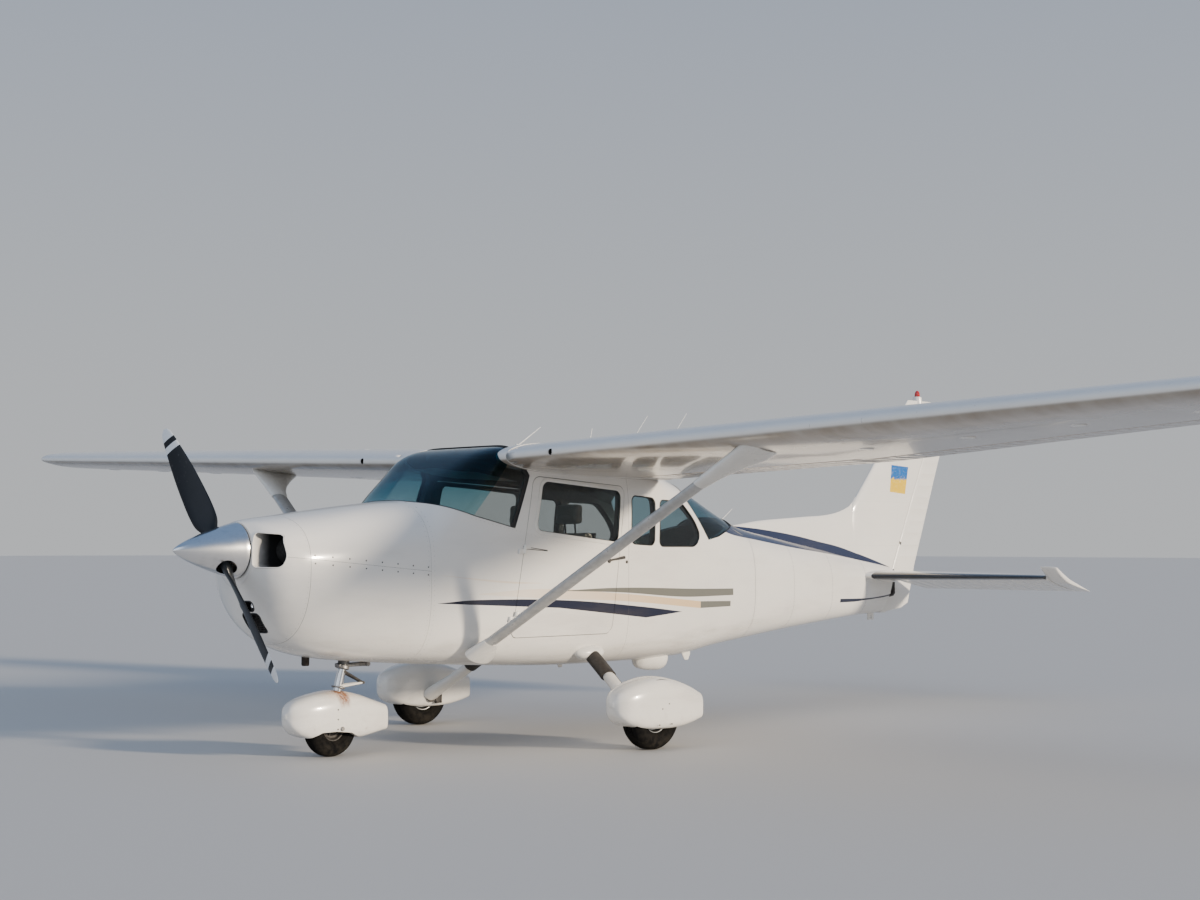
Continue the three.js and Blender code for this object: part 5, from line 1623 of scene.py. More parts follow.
def noise(place, scale, detail=4, rough=0.55):
    inputs = {"Vector": place, "Scale": scale, "Detail": detail, "Roughness": rough}
    return node("TexNoise", inputs).outputs["Fac"]


def stretched(place, x, y, z):
    return node("VectorMath", {0: place, 1: (x, y, z)}, operation="MULTIPLY").outputs[0]


def bumped(height, strength, distance=0.001, normal=None):
    inputs = {"Height": height, "Strength": strength, "Distance": distance}
    if normal:
        inputs["Normal"] = normal
    return node("Bump", inputs).outputs["Normal"]


def parts_of(place):
    return node("SeparateXYZ", {0: place}).outputs


def new_group(name, inputs, outputs):
    tree = bpy.data.node_groups.new(name, "ShaderNodeTree")
    for way, sockets in (("INPUT", inputs), ("OUTPUT", outputs)):
        for label, kind in sockets:
            tree.interface.new_socket(name=label, in_out=way, socket_type="NodeSocket" + kind)
    return tree, tree.nodes.new("NodeGroupInput").outputs, tree.nodes.new("NodeGroupOutput")


def use(group, inputs):
    return node("Group", inputs, node_tree=group).outputs


def new_material(name):
    material = bpy.data.materials.new(name)
    material.use_nodes = True
    tree = material.node_tree
    place = tree.nodes.new("ShaderNodeTexCoord").outputs["Object"]
    return material, tree.nodes["Principled BSDF"], place


# How dirty and how wavy painted sheet is; dirt gathers low down and in drawn-out streaks
def sheet_wear():
    outputs = [("Dirt", "Float"), ("Wave", "Float")]
    tree, source, sink = new_group("sheet_wear", [("Place", "Vector")], outputs)
    place = source["Place"]
    height = parts_of(place)["Z"]
    low = rise(height, 0.95, 0.5)
    streaks = rise(noise(stretched(place, 0.6, 1.5, 3.5), 2.2, 7, 0.62), 0.46, 0.78)
    grains = rise(noise(place, 34, 5, 0.6), 0.56, 0.72)
    amount = scaled(low, 0.75, 0.22)
    dirt = scaled(product(grains, low), 0.35, product(streaks, amount))
    feed(sink, {"Dirt": dirt, "Wave": noise(stretched(place, 1, 1, 1.6), 3.2, 2, 0.45)})
    return tree


# A row of round heads: how far along the row and across it a point lies, in metres
def rivet_row():
    tree, source, sink = new_group("rivet_row", [("Along", "Float"), ("Across", "Float"), ("Pitch", "Float")],
                                   [("Head", "Float")])
    turn = calc("FRACT", calc("DIVIDE", source["Along"], source["Pitch"]))
    off = calc("MULTIPLY", less(turn, 0.5), source["Pitch"])
    squares = scaled(off, off, calc("MULTIPLY", source["Across"], source["Across"]))
    feed(sink, {"Head": rise(calc("SQRT", squares), 0.0036, 0.0022)})
    return tree


WEAR = sheet_wear()
RIVETS = rivet_row()
# Heights that a curve node can give, and the stations it covers, in metres
CURVE_SPAN = (1.5, 7.5)
CURVE_REACH = (0.7, 1.7)


def height_line(aft, points, straight=False):
    (start, end), (low, high) = CURVE_SPAN, CURVE_REACH
    made = node("FloatCurve", {"Value": rise_line(aft, start, end)})
    line = made.mapping.curves[0]
    spots = [((a * MM - start) / (end - start), (z * MM - low) / (high - low)) for a, z in points]
    line.points[0].location, line.points[1].location = spots[0], spots[-1]
    for spot in spots[1:-1]:
        line.points.new(*spot)
    for point in line.points:
        point.handle_type = "VECTOR" if straight else "AUTO_CLAMPED"
    made.mapping.update()
    return scaled(made.outputs["Value"], high - low, low)


def rise_line(value, low, high):
    return node("MapRange", {"Value": value, "From Min": low, "From Max": high}).outputs["Result"]


# Painted stripes along the fuselage: colour, upper edge, lower edge; points are (station, z)
NAVY = (0.004, 0.006, 0.024, 1)
STRIPE_GREY = (0.15, 0.148, 0.125, 1)
TAN = (0.72, 0.5, 0.27, 1)
STRIPES = [
    (TAN, [(1640, 1134), (2249, 1086), (2500, 1074)], [(1640, 1132), (2249, 1074), (2500, 1073)]),
    (TAN, [(1950, 1012), (2481, 1036), (3198, 996), (4200, 917)],
     [(1950, 1006), (2652, 966), (3198, 944), (4200, 867)]),
    (STRIPE_GREY, [(4200, 917), (4605, 910)], [(4200, 867), (4605, 870)]),
    (STRIPE_GREY, [(2690, 1021), (3198, 1032), (4188, 1009), (4640, 1003)],
     [(2690, 1019), (3198, 1002), (4188, 951), (4640, 953)]),
    (NAVY, [(1616, 957), (1953, 973), (2658, 959), (3465, 898), (3959, 848)],
     [(1616, 956), (1953, 940), (2658, 906), (3540, 817), (3959, 847)]),
    (NAVY, [(6255, 888), (6668, 884), (7000, 898), (7200, 917)],
     [(6255, 858), (6500, 858), (7000, 884), (7200, 904)]),
]
TOP_NAVY = (0.012, 0.02, 0.06, 1)
FIN_FOOT_LINE = [
    (4700, 1488), (5036, 1483), (5291, 1469), (5508, 1451), (5866, 1411), (6190, 1361),
    (6427, 1326), (6670, 1274), (6969, 1202), (7224, 1138), (7290, 1120),
]
TOP_STRIPE = [(4470, 1500), (4605, 1424), (5100, 1368), (5631, 1310), (6100, 1268), (6575, 1221),
              (7290, 1134)]


def stripe_paint():
    tree, source, sink = new_group("stripe_paint", [("Place", "Vector"), ("Base", "Color")],
                                   [("Colour", "Color")])
    x, _, z = list(parts_of(source["Place"]))
    aft = less(NOSE_X, x)
    colour = source["Base"]
    for shade, over, under in STRIPES:
        top = height_line(aft, over)
        foot = height_line(aft, under, straight=shade == NAVY)
        inside = product(rise(less(top, z), -0.001, 0.001), rise(less(z, foot), -0.001, 0.001),
                         band(aft, over[0][0] * MM, over[-1][0] * MM, 0.001))
        if shade == TAN:
            fade = rise(aft, over[0][0] * MM, over[0][0] * MM + 2.2)
            inside = product(inside, scaled(fade, 0.7, 0.22))
        colour = mixed(inside, colour, shade)
    ridge = less(z, height_line(aft, TOP_STRIPE))
    above = product(rise(ridge, -0.001, 0.001), rise(aft, 4.469, 4.471))
    feed(sink, {"Colour": mixed(above, colour, TOP_NAVY)})
    return tree


# Rivet lines and lapped seams of the fuselage, at stations and at heights
BODY_SEAMS = (688, 3345, 4948, 5520, 6120, 6700)
SILL_RIVETS = [(1886, 1499), (2118, 1447), (2344, 1405), (2505, 1372), (3254, 1283), (4300, 1281)]
RIVET_STATIONS = (676, 1548, 1590, 3370, 4300, 4930, 4972, 5505, 5535, 6105, 6135, 6685, 6715)
WHITE_PAINT = (0.82, 0.795, 0.745, 1)
DIRT = (0.16, 0.115, 0.07, 1)


def gloss(shader, colour, dirt, normal):
    feed(shader, {
        "Base Color": mixed(product(dirt, 0.42), colour, DIRT),
        "Roughness": scaled(dirt, 0.3, 0.2),
        "Coat Weight": 0.4,
        "Coat Roughness": 0.06,
        "Normal": normal,
    })


def nearest_line(value, lines):
    least = calc("ABSOLUTE", less(value, lines[0] * MM))
    for line in lines[1:]:
        least = calc("MINIMUM", least, calc("ABSOLUTE", less(value, line * MM)))
    return least


def fuselage_paint():
    material, shader, place = new_material("fuselage_paint")
    x, _, z = list(parts_of(place))
    aft = less(NOSE_X, x)
    wear = use(WEAR, {"Place": place})
    base = mixed(rise(wear["Wave"], 0.3, 0.7), WHITE_PAINT, (0.79, 0.77, 0.73, 1))
    colour = use(stripe_paint(), {"Place": place, "Base": base})["Colour"]
    seam = rise(nearest_line(aft, BODY_SEAMS), 0.0016, 0.0007)
    heads = use(RIVETS, {"Along": z, "Across": nearest_line(aft, RIVET_STATIONS), "Pitch": 0.031})["Head"]
    sill = less(z, height_line(aft, SILL_RIVETS))
    sill = use(RIVETS, {"Along": aft, "Across": sill, "Pitch": 0.034})["Head"]
    heads = calc("MAXIMUM", heads, product(sill, band(aft, 1.88, 4.3, 0.002)))
    marks = calc("MAXIMUM", product(seam, 0.75), product(heads, 0.24))
    soot_and_shade_mottle = product(rise(z, 0.66, 0.5), rise(noise(stretched(place, 0.5, 4, 2), 3, 6), 0.3, 0.6))
    dirt = calc("MAXIMUM", wear["Dirt"], product(soot_and_shade_mottle, 0.9))
    height = less(product(heads, 0.6), seam)
    normal = bumped(height, 0.7, 0.0012, bumped(wear["Wave"], 0.16, 0.02))
    gloss(shader, mixed(marks, colour, (0.05, 0.045, 0.04, 1)), dirt, normal)
    return material


# Inlet mouths: white paint that turns to near-black with depth, a painted shade for the duct's dark inside
def inlet_paint_and_shade():
    material, shader, place = new_material("inlet_paint_and_shade")
    aft = less(NOSE_X, parts_of(place)["X"])
    # Noise that breaks up the edge of the painted shade
    soot_and_shade_mottle = scaled(noise(place, 12, 5), 0.05, -0.025)
    deep = rise(calc("ADD", aft, soot_and_shade_mottle), 0.395, 0.57)
    feed(shader, {
        "Base Color": mixed(deep, WHITE_PAINT, (0.006, 0.006, 0.006, 1)),
        "Roughness": scaled(deep, 0.6, 0.3),
        "Normal": bumped(noise(place, 20), 0.1, 0.002),
    })
    return material


# Wings and tail: rib and spar rivets on a regular grid, and extra paint over the base colour
def wing_paint(name, pitch_y, lines_aft, upright=False, extra=None):
    material, shader, place = new_material(name)
    x, y, z = list(parts_of(place))
    aft = less(NOSE_X, x)
    span = z if upright else calc("ABSOLUTE", y)
    wear = use(WEAR, {"Place": place})
    turn = calc("FRACT", calc("DIVIDE", span, pitch_y))
    off = product(less(turn, 0.5), pitch_y)
    ribs = use(RIVETS, {"Along": aft, "Across": off, "Pitch": 0.03})["Head"]
    spars = use(RIVETS, {"Along": span, "Across": nearest_line(aft, lines_aft), "Pitch": 0.026})["Head"]
    heads = calc("MAXIMUM", ribs, spars)
    colour = mixed(rise(wear["Wave"], 0.3, 0.7), WHITE_PAINT, (0.79, 0.77, 0.73, 1))
    colour = mixed(product(heads, 0.3), colour, (0.2, 0.18, 0.16, 1))
    if extra:
        colour = extra(place.node.outputs, aft, y, z, colour)
    normal = bumped(heads, 0.5, 0.001, bumped(wear["Wave"], 0.16, 0.02))
    gloss(shader, colour, product(wear["Dirt"], 0.6), normal)
    return material


# Painted shade under the wings: a brown tone on faces that look down, for shade and the ground's reflected
# colour; dark streaks on the flaps, and two dark ovals by their outer ends
def wing_dirt_and_shade(coordinates, aft, y, z, colour):
    out = calc("ABSOLUTE", y)
    facing = parts_of(coordinates["Normal"])["Z"]
    under = rise(facing, -0.3, -0.8)
    place = coordinates["Object"]
    # Painted shade and reflected ground colour on faces that look down
    underside_shade = product(under, scaled(noise(stretched(place, 0.4, 1, 1), 5, 5), 0.7, 0.45))
    colour = mixed(underside_shade, colour, (0.27, 0.22, 0.165, 1))
    zone = product(under, rise(aft, 2.85, 3.2), rise(out, 0.75, 1.1), rise(out, 3.0, 2.2))
    flecks = product(zone, rise(noise(stretched(place, 0.15, 1, 0.3), 20, 5, 0.7), 0.52, 0.6))
    for centre in (2.4, 2.685):
        long = calc("DIVIDE", less(aft, 3.55), 0.16)
        wide = calc("DIVIDE", less(out, centre), 0.05)
        reach = scaled(long, long, calc("MULTIPLY", wide, wide))
        flecks = calc("MAXIMUM", flecks, product(under, rise(reach, 1.1, 0.6)))
    return mixed(product(flecks, 0.9), colour, (0.05, 0.032, 0.02, 1))


# Black boot along the stabilizer's leading edge
def boot(coordinates, aft, y, z, colour):
    out = calc("ABSOLUTE", y)
    edge = scaled(out, 0.302, 6.64)
    depth = less(aft, edge)
    inside = product(rise(depth, 0.08, 0.077), rise(out, 0.2, 0.203))
    return mixed(inside, colour, (0.012, 0.013, 0.016, 1))


# Plain two-colour patch on the fin, and the dark foot of the ridge ahead of it
def patch(coordinates, aft, y, z, colour):
    def side(slope, aft_0, z_0, way):
        reach = less(less(aft, aft_0), calc("MULTIPLY", less(z, z_0), slope))
        return rise(calc("MULTIPLY", reach, way), -0.0006, 0.0006)

    def level(slope, aft_0, z_0, way):
        reach = less(less(z, z_0), calc("MULTIPLY", less(aft, aft_0), slope))
        return rise(calc("MULTIPLY", reach, way), -0.0006, 0.0006)

    inside = product(side(0.143, 7.216, 1.797, 1), side(0.216, 7.461, 1.784, -1),
                     level(-0.061, 7.247, 1.797, 1), level(-0.043, 7.281, 2.035, -1))
    ragged = scaled(noise(coordinates["Object"], 60, 4), 0.13, -0.065)
    split = calc("ADD", less(z, 1.916), ragged)
    shade = mixed(rise(split, -0.001, 0.001), (0.78, 0.5, 0.005, 1), (0.002, 0.12, 0.42, 1))
    flecks = rise(noise(coordinates["Object"], 90, 5, 0.7), 0.56, 0.66)
    worn = mixed(product(flecks, 0.5), shade, WHITE_PAINT)
    foot = less(height_line(aft, FIN_FOOT_LINE), z)
    below = product(rise(foot, -0.001, 0.001), rise(aft, 7.291, 7.289), rise(z, 1.09, 1.092))
    return mixed(below, mixed(inside, colour, worn), TOP_NAVY)


# Wheel fairings: plain paint with more dirt low down, and rust that runs from the top of the nose one
def fairing_paint(name, rusty=False):
    material, shader, place = new_material(name)
    x, y, z = list(parts_of(place))
    wear = use(WEAR, {"Place": place})
    colour = mixed(rise(wear["Wave"], 0.3, 0.7), WHITE_PAINT, (0.78, 0.76, 0.72, 1))
    spots = rise(noise(place, 22, 8, 0.7), 0.5, 0.72)
    low = rise(z, 0.32, 0.12)
    dirt = scaled(product(spots, low), 0.8, product(wear["Dirt"], 0.45))
    if rusty:
        aft = less(NOSE_X, x)
        wander = scaled(noise(stretched(place, 1, 1, 0.3), 30, 3), 0.04, -0.02)
        path = calc("ABSOLUTE", calc("ADD", less(aft, 1.185), wander))
        grain = rise(noise(stretched(place, 1.6, 1.6, 0.5), 48, 6, 0.7), 0.3, 0.6)
        patchy = scaled(grain, 0.6, 0.4)
        halo = product(rise(path, 0.2, 0.02), rise(z, 0.345, 0.41), patchy)
        colour = mixed(product(halo, 0.6), colour, (0.52, 0.24, 0.09, 1))
        rust = product(rise(path, 0.06, 0.018), rise(z, 0.29, 0.36), patchy)
        colour = mixed(product(rust, 0.95), colour, (0.26, 0.09, 0.025, 1))
    gloss(shader, colour, dirt, bumped(wear["Wave"], 0.12, 0.015))
    return material


def plain(name, colour, rough, metal=0.0, grain=0.15, scale=40, bump=0.15, coat=0.0):
    material, shader, place = new_material(name)
    cloud = noise(place, scale, 6, 0.6)
    darker = tuple(v * (1 - grain) for v in colour)
    feed(shader, {
        "Base Color": mixed(rise(cloud, 0.35, 0.65), (*colour, 1), (*darker, 1)),
        "Roughness": scaled(cloud, 0.16, rough - 0.08),
        "Metallic": metal,
        "Coat Weight": coat,
        "Normal": bumped(cloud, bump, 0.0008),
    })
    return material


# How far a place is from the propeller's shaft
def off_shaft(place):
    _, y, z = list(parts_of(place))
    up = less(z, THRUST_Z * MM)
    return calc("SQRT", scaled(y, y, calc("MULTIPLY", up, up)))


# Spun and polished metal, with fine rings about the shaft
def polished(name, colour, rough):
    material, shader, place = new_material(name)
    radius = off_shaft(place)
    rings = node("TexNoise", {"W": product(radius, 900), "Scale": 1, "Detail": 3}, noise_dimensions="1D")
    smears = noise(place, 9, 6, 0.65)
    dull = mixed(rise(smears, 0.45, 0.75), (*colour, 1), tuple(v * 0.8 for v in colour) + (1,))
    feed(shader, {
        "Base Color": dull,
        "Roughness": scaled(smears, 0.14, rough - 0.05),
        "Metallic": 1,
        "Normal": bumped(rings.outputs["Fac"], 0.05, 0.0003),
    })
    return material


# Black blades with light bands near their tips, and worn leading edges
BLADE_BANDS = [(0.799, 0.843), (0.885, 1.0)]


def blade_paint():
    material, shader, place = new_material("blade_paint")
    radius = off_shaft(place)
    light = band(radius, *BLADE_BANDS[0], 0.0008)
    light = calc("MAXIMUM", light, band(radius, *BLADE_BANDS[1], 0.0008))
    chips = rise(noise(place, 70, 7, 0.7), 0.62, 0.7)
    scuff = product(chips, rise(radius, 0.3, 0.8))
    colour = mixed(light, (0.004, 0.0055, 0.008, 1), (0.72, 0.74, 0.76, 1))
    feed(shader, {
        "Base Color": mixed(product(scuff, 0.35), colour, (0.3, 0.3, 0.31, 1)),
        "Roughness": scaled(noise(place, 30), 0.2, 0.26),
        "Specular IOR Level": 0.3,
        "Normal": bumped(noise(place, 160), 0.08, 0.0005),
    })
    return material


def glass(name, colour, dark=None, rough=0.02):
    material, shader, place = new_material(name)
    x, _, z = list(parts_of(place))
    tint = (*colour, 1)
    # With a dark colour given, the front part goes from teal to a deeper teal towards its top, and behind a
    # slanting line it is pale grey
    if dark:
        aft = less(NOSE_X, x)
        front = scaled(less(z, 1.523), 0.871, 1.917)
        behind = rise(less(aft, front), -0.002, 0.002)
        shade = mixed(rise(z, 1.5, 1.85), tint, (*dark, 1))
        tint = mixed(behind, shade, (0.6, 0.63, 0.62, 1))
    smears = rise(noise(stretched(place, 2, 2, 0.7), 6, 6, 0.65), 0.55, 0.8)
    feed(shader, {"Base Color": tint, "Roughness": scaled(smears, 0.05, rough)})
    feed(shader, {"Transmission Weight": 1, "IOR": 1.3})
    return material


def tyre_rubber():
    material, shader, place = new_material("tyre_rubber")
    cloud = noise(place, 26, 7, 0.65)
    _, _, z = list(parts_of(place))
    dust = product(rise(z, 0.16, 0.0), rise(cloud, 0.35, 0.6))
    colour = mixed(rise(cloud, 0.3, 0.7), (0.004, 0.004, 0.0045, 1), (0.01, 0.0095, 0.009, 1))
    feed(shader, {
        "Base Color": mixed(product(dust, 0.18), colour, (0.08, 0.068, 0.052, 1)),
        "Roughness": scaled(cloud, 0.2, 0.72),
        "Specular IOR Level": 0.08,
        "Normal": bumped(noise(place, 240, 4), 0.25, 0.0008),
    })
    return material


def cloth(name, colour, thread):
    material, shader, place = new_material(name)
    wave = {"Vector": place, "Scale": 160, "Distortion": 1.2, "Detail": 2}
    threads = product(*(node("TexWave", wave, bands_direction=way).outputs["Fac"] for way in ("Y", "X")))
    worn = rise(noise(place, 5, 5, 0.6), 0.4, 0.7)
    shade = mixed(threads, (*colour, 1), (*thread, 1))
    feed(shader, {
        "Base Color": mixed(product(worn, 0.3), shade, (0.5, 0.47, 0.42, 1)),
        "Roughness": 0.9,
        "Sheen Weight": 0.25,
        "Normal": bumped(threads, 0.3, 0.0012, bumped(noise(place, 14), 0.2, 0.004)),
    })
    return material


def glowing(name, colour):
    material, shader, place = new_material(name)
    ribs = node("TexWave", {"Vector": place, "Scale": 60}, bands_direction="Z").outputs["Fac"]
    feed(shader, {
        "Base Color": mixed(ribs, (*colour, 1), tuple(v * 0.6 for v in colour) + (1,)),
        "Roughness": 0.08,
        "Coat Weight": 0.6,
        "Subsurface Weight": 0.3,
        "Normal": bumped(ribs, 0.4, 0.001),
    })
    return material


WING_LINES = (2360, 2770, 3180, 3360)
# Material of each finish, and its usual slot
FINISH = {
    "fuselage": (fuselage_paint(), "white_paint"),
    "inlet": (inlet_paint_and_shade(), "white_paint"),
    "wing": (wing_paint("wing_paint", 0.355, WING_LINES, extra=wing_dirt_and_shade), "white_paint"),
    "stabilizer": (wing_paint("stabilizer_paint", 0.3, (7100, 7230), extra=boot), "white_paint"),
    "elevator": (wing_paint("elevator_paint", 0.3, (7260,)), "white_paint"),
    "fin": (wing_paint("fin_paint", 0.38, (7330, 7480), upright=True, extra=patch), "white_paint"),
    "fairing": (fairing_paint("fairing_paint"), "white_paint"),
    "nose_fairing": (fairing_paint("nose_fairing_paint", rusty=True), "white_paint"),
    # Painted shade: the strut's white paint is darkened to mid grey, as it looks in shadow
    "strut": (plain("strut_shaded_paint", (0.5, 0.5, 0.49), 0.3, 0.35, 0.18, 18, 0.1, 0.3), "grey_white_paint"),
    "rod": (plain("aerial_rod", (0.72, 0.72, 0.7), 0.4, 0, 0.15, 60, 0.05, 0.1), "aerial_rod"),
    "white": (plain("white_gloss", (0.8, 0.78, 0.73), 0.28, 0, 0.06, 12, 0.05, 0.3), "white_paint"),
    "lining": (plain("lining", (0.2, 0.19, 0.18), 0.85, 0, 0.15, 60, 0.4), "panel_plastic"),
    "steel": (plain("gear_steel", (0.3, 0.29, 0.28), 0.42, 0.7, 0.35, 55, 0.25), "gear_steel"),
    "dark_steel": (plain("dark_steel", (0.06, 0.055, 0.052), 0.5, 0.35, 0.4, 60, 0.3), "gear_steel"),
    "rust": (plain("exhaust_steel", (0.035, 0.026, 0.02), 0.7, 0.3, 0.5, 35, 0.4), "exhaust_steel"),
    "chrome": (plain("oleo_chrome", (0.78, 0.79, 0.8), 0.14, 1, 0.1, 30, 0.03), "hub_metal"),
    "spinner": (polished("spinner_aluminium", (0.82, 0.815, 0.805), 0.2), "spinner_metal"),
    "hub": (plain("hub_aluminium", (0.62, 0.62, 0.61), 0.32, 1, 0.25, 40, 0.1), "hub_metal"),
    "rubber": (tyre_rubber(), "tyre"),
    "leg_boot": (plain("boot_paint", (0.035, 0.03, 0.026), 0.6, 0.0, 0.4, 30, 0.3), "gear_steel"),
    "seal": (plain("seal_rubber", (0.02, 0.02, 0.021), 0.6, 0, 0.2, 80, 0.2), "glass"),
    "blade": (blade_paint(), "propeller_black"),
    "black": (plain("black_plastic", (0.02, 0.02, 0.022), 0.5, 0, 0.25, 90, 0.25), "panel_plastic"),
    # Painted shade: near-black for the dark insides of ducts, vents and the gap behind the spinner
    "void": (plain("painted_shade_black", (0.006, 0.006, 0.006), 0.9, 0, 0.2, 30, 0.1), "engine"),
    "iron": (plain("engine_iron", (0.09, 0.09, 0.09), 0.6, 0.5, 0.4, 50, 0.4), "engine"),
    "windshield": (glass("windshield_teal", (0.3, 0.52, 0.56), (0.05, 0.25, 0.33)), "glass"),
    "glass": (glass("clear_glass", (0.6, 0.63, 0.62)), "glass"),
    "tinted": (glass("rear_tint", (0.33, 0.5, 0.56)), "glass"),
    "seat": (cloth("seat_cloth", (0.32, 0.28, 0.23), (0.44, 0.4, 0.34)), "seat_cloth"),
    "panel": (plain("panel_plastic", (0.045, 0.045, 0.048), 0.65, 0, 0.3, 120, 0.4), "panel_plastic"),
    "dial": (plain("dial_face", (0.25, 0.26, 0.27), 0.35, 0, 0.5, 50, 0.05), "panel_plastic"),
    "red": (glowing("red_lens", (0.55, 0.012, 0.01)), "beacon_red"),
    "green": (glowing("green_lens", (0.01, 0.3, 0.06)), "glass"),
}


def place(piece, body, finish, *nodes, slot=None):
    material, usual = FINISH[finish]
    piece.data.materials.clear()
    piece.data.materials.append(material)
    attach(piece, body)
    if nodes:
        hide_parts(*nodes)
    return piece


def fixed(piece, finish, *nodes, slot=None):
    return place(piece, "airframe", finish, *nodes, slot=slot)


def add_nose(skin):
    upper, lower = cowling(skin)
    fixed(upper, "fuselage", "cowl_upper")
    fixed(lower, "fuselage", "cowl_lower")
    keeper = body_skin("duct_skin", SKIN_OUT - 0.5)
    for name, side in SIDES.items():
        corners = [(side * y, z) for y, z in INLET]
        lip, mouth, throat = duct(f"inlet_{name}", corners, INLET_DEPTH["lip"], INLET_DEPTH, keeper)
        fixed(lip, "white")
        fixed(mouth, "inlet")
        # Painted shade: the throat takes the near-black finish for the dark inside of the duct
        fixed(throat, "void")
        fixed(merged(f"cylinder_fins_{name}", cylinder_fins(side)), "iron")
    for name, corners in CHIN.items():
        lip, mouth, throat = duct(f"chin_{name}", corners, CHIN_DEPTH[name], CHIN_DEPTH, keeper)
        # Painted shade: the chin mouths are black and their throats near-black, for the dark inside of the
        # openings
        fixed(merged(f"chin_{name}_mouth", mouth, lip), "black")
        fixed(throat, "void")
    drop(keeper)
    fixed(merged("landing_lamp", lamp(58)), "chrome")
    fixed(intake_mesh(), "dark_steel", slot="engine")
    fixed(cowl_studs(), "dark_steel")
    fixed(exhaust(), "rust", "exhaust_pipe")
    place(propeller(), "propeller", "blade", "propeller")
    place(spinner(), "propeller", "spinner", "spinner")
    place(back_plate(), "propeller", "void", slot="propeller_black")


def add_cabin(skin):
    fixed(cabin_skin(skin), "fuselage")
    fixed(tail_skin(skin), "fuselage", "tail_cone")
    glass_skin = body_skin("glass_skin", -3)
    fixed(pane("windshield_pane", glass_skin, WINDSHIELD), "windshield", "windshield")
    fixed(pane("rear_window_pane", glass_skin, REAR_WINDOW), "tinted", "rear_window")
    fixed(windshield_strip(glass_skin), "seal")
    for name, corners in (("windshield", WINDSHIELD), ("rear_window", REAR_WINDOW)):
        tool = across("seal_tool", corners)
        fixed(seal(f"{name}_seal", skin, tool, 3), "seal")
        drop(tool)
    for name, side in SIDES.items():
        door = f"door_{name}"
        place(door_skin(skin, name, side), door, "fuselage")
        place(pane(f"door_pane_{name}", glass_skin, DOOR_WINDOW, side, 50), door, "glass",
              f"door_window_{name}")
        place(window_frame(name, skin, side), door, "white")
        place(door_fittings(name, side), door, "dark_steel")
        place(door_strip_shadow_lines(name, side), door, "seal", slot="white_paint")
        place(hinge_leaves(f"hinge_door_leaves_{name}", side, True), door, "white")
        place(hinge_barrels(f"hinge_barrels_{name}", side), door, "white")
        fixed(hinge_leaves(f"hinge_post_leaves_{name}", side, False), "white")
        panes = [("door", DOOR_WINDOW, 50, door)]
        panes += [(which, corners, 45, "airframe") for which, corners in SIDE_WINDOWS.items()]
        for which, corners, radius, body in panes:
            tool = one_side("seal_tool", corners, side, radius)
            place(seal(f"{which}_seal_{name}", skin, tool), body, "seal")
            drop(tool)
        for which, corners in SIDE_WINDOWS.items():
            fixed(pane(f"side_pane_{which}_{name}", glass_skin, corners, side, 45), "glass",
                  f"quarter_window_{which}_{name}")
    drop(glass_skin)


def add_furniture():
    room = body_skin("room_tool", -27)
    fixed(instrument_panel(room), "panel", "instrument_panel")
    fixed(bench_base(room), "lining")
    drop(room)
    rims, faces = dials()
    fixed(rims, "black")
    fixed(faces, "dial")
    for name, side in SIDES.items():
        fixed(yoke(name, side * SEAT_Y), "black")
        fixed(seat_frame(name, side * SEAT_Y), "dark_steel")
    for name, outline, half, front in (
            ("cushion", FRONT_CUSHION, SEAT_HALF, (0, 0, 1)), ("back", FRONT_BACK, SEAT_HALF, (1, 0, 0.2)),
            ("headrest", FRONT_HEADREST, 112, (1, 0, 0))):
        lines = [SEAT_Y + y for y in SEAT_SEAMS]
        left = cushion(f"front_{name}_left", outline, SEAT_Y - half, SEAT_Y + half, front, lines)
        right = mirrored(left, f"front_{name}_right")
        for piece, side in ((left, "left"), (right, "right")):
            fixed(piece, "seat", *([f"front_seat_{side}"] if name == "back" else []))
    for name, outline, front in (("cushion", REAR_CUSHION, (0, 0, 1)), ("back", REAR_BACK, (1, 0, 0.3))):
        piece = cushion(f"rear_{name}", outline, -BENCH_HALF, BENCH_HALF, front, BENCH_SEAMS, grain=8)
        fixed(piece, "seat", *(["rear_bench"] if name == "back" else []))


def add_wings():
    for name, side in SIDES.items():
        fixed(wing(name, side), "wing", f"wing_{name}")
        fixed(wing_root(name, side), "wing")
        place(moving_wing_piece(f"flap_{name}_skin", FLAP, side), f"flap_{name}", "wing", f"flap_{name}")
        place(moving_wing_piece(f"aileron_{name}_skin", AILERON, side), f"aileron_{name}", "wing",
              f"aileron_{name}")
        fixed(strut(name, side), "strut", f"strut_{name}")
        fixed(strut_fairing(f"strut_foot_{name}", side, STRUT_FOOT_ROWS, False), "white")
        fixed(strut_fairing(f"strut_head_{name}", side, STRUT_HEAD_ROWS, True), "white")
        fixed(wing_covers(name, side), "white")
        # Painted shade: the vent's cup takes the near-black finish for the dark inside of the hole
        fixed(wing_vent(name, side), "void")
        fixed(tip_lamp(name, side), "red" if side > 0 else "green")


def add_tail():
    fixed(stabilizer(), "stabilizer", "stabilizer")
    place(elevator(), "elevator", "elevator", "elevator")
    fixed(merged("fin_all", fin(), dorsal_ridge(), fin_brackets()), "fin", "fin")
    place(rudder(), "rudder", "fin", "rudder")
    fixed(elevator_arm(), "dark_steel")
    fixed(beacon_lens(), "red", "beacon")
    for name, row in AERIALS.items():
        fixed(aerial(name, row), "rod", f"aerial_{name}")
    fixed(belly_box(), "white", "belly_fairing")
    fixed(merged("belly_blades", belly_blade(4290, 190, 512, 90, 40), belly_blade(3300, -150, 500, 80, 55)),
          "white")


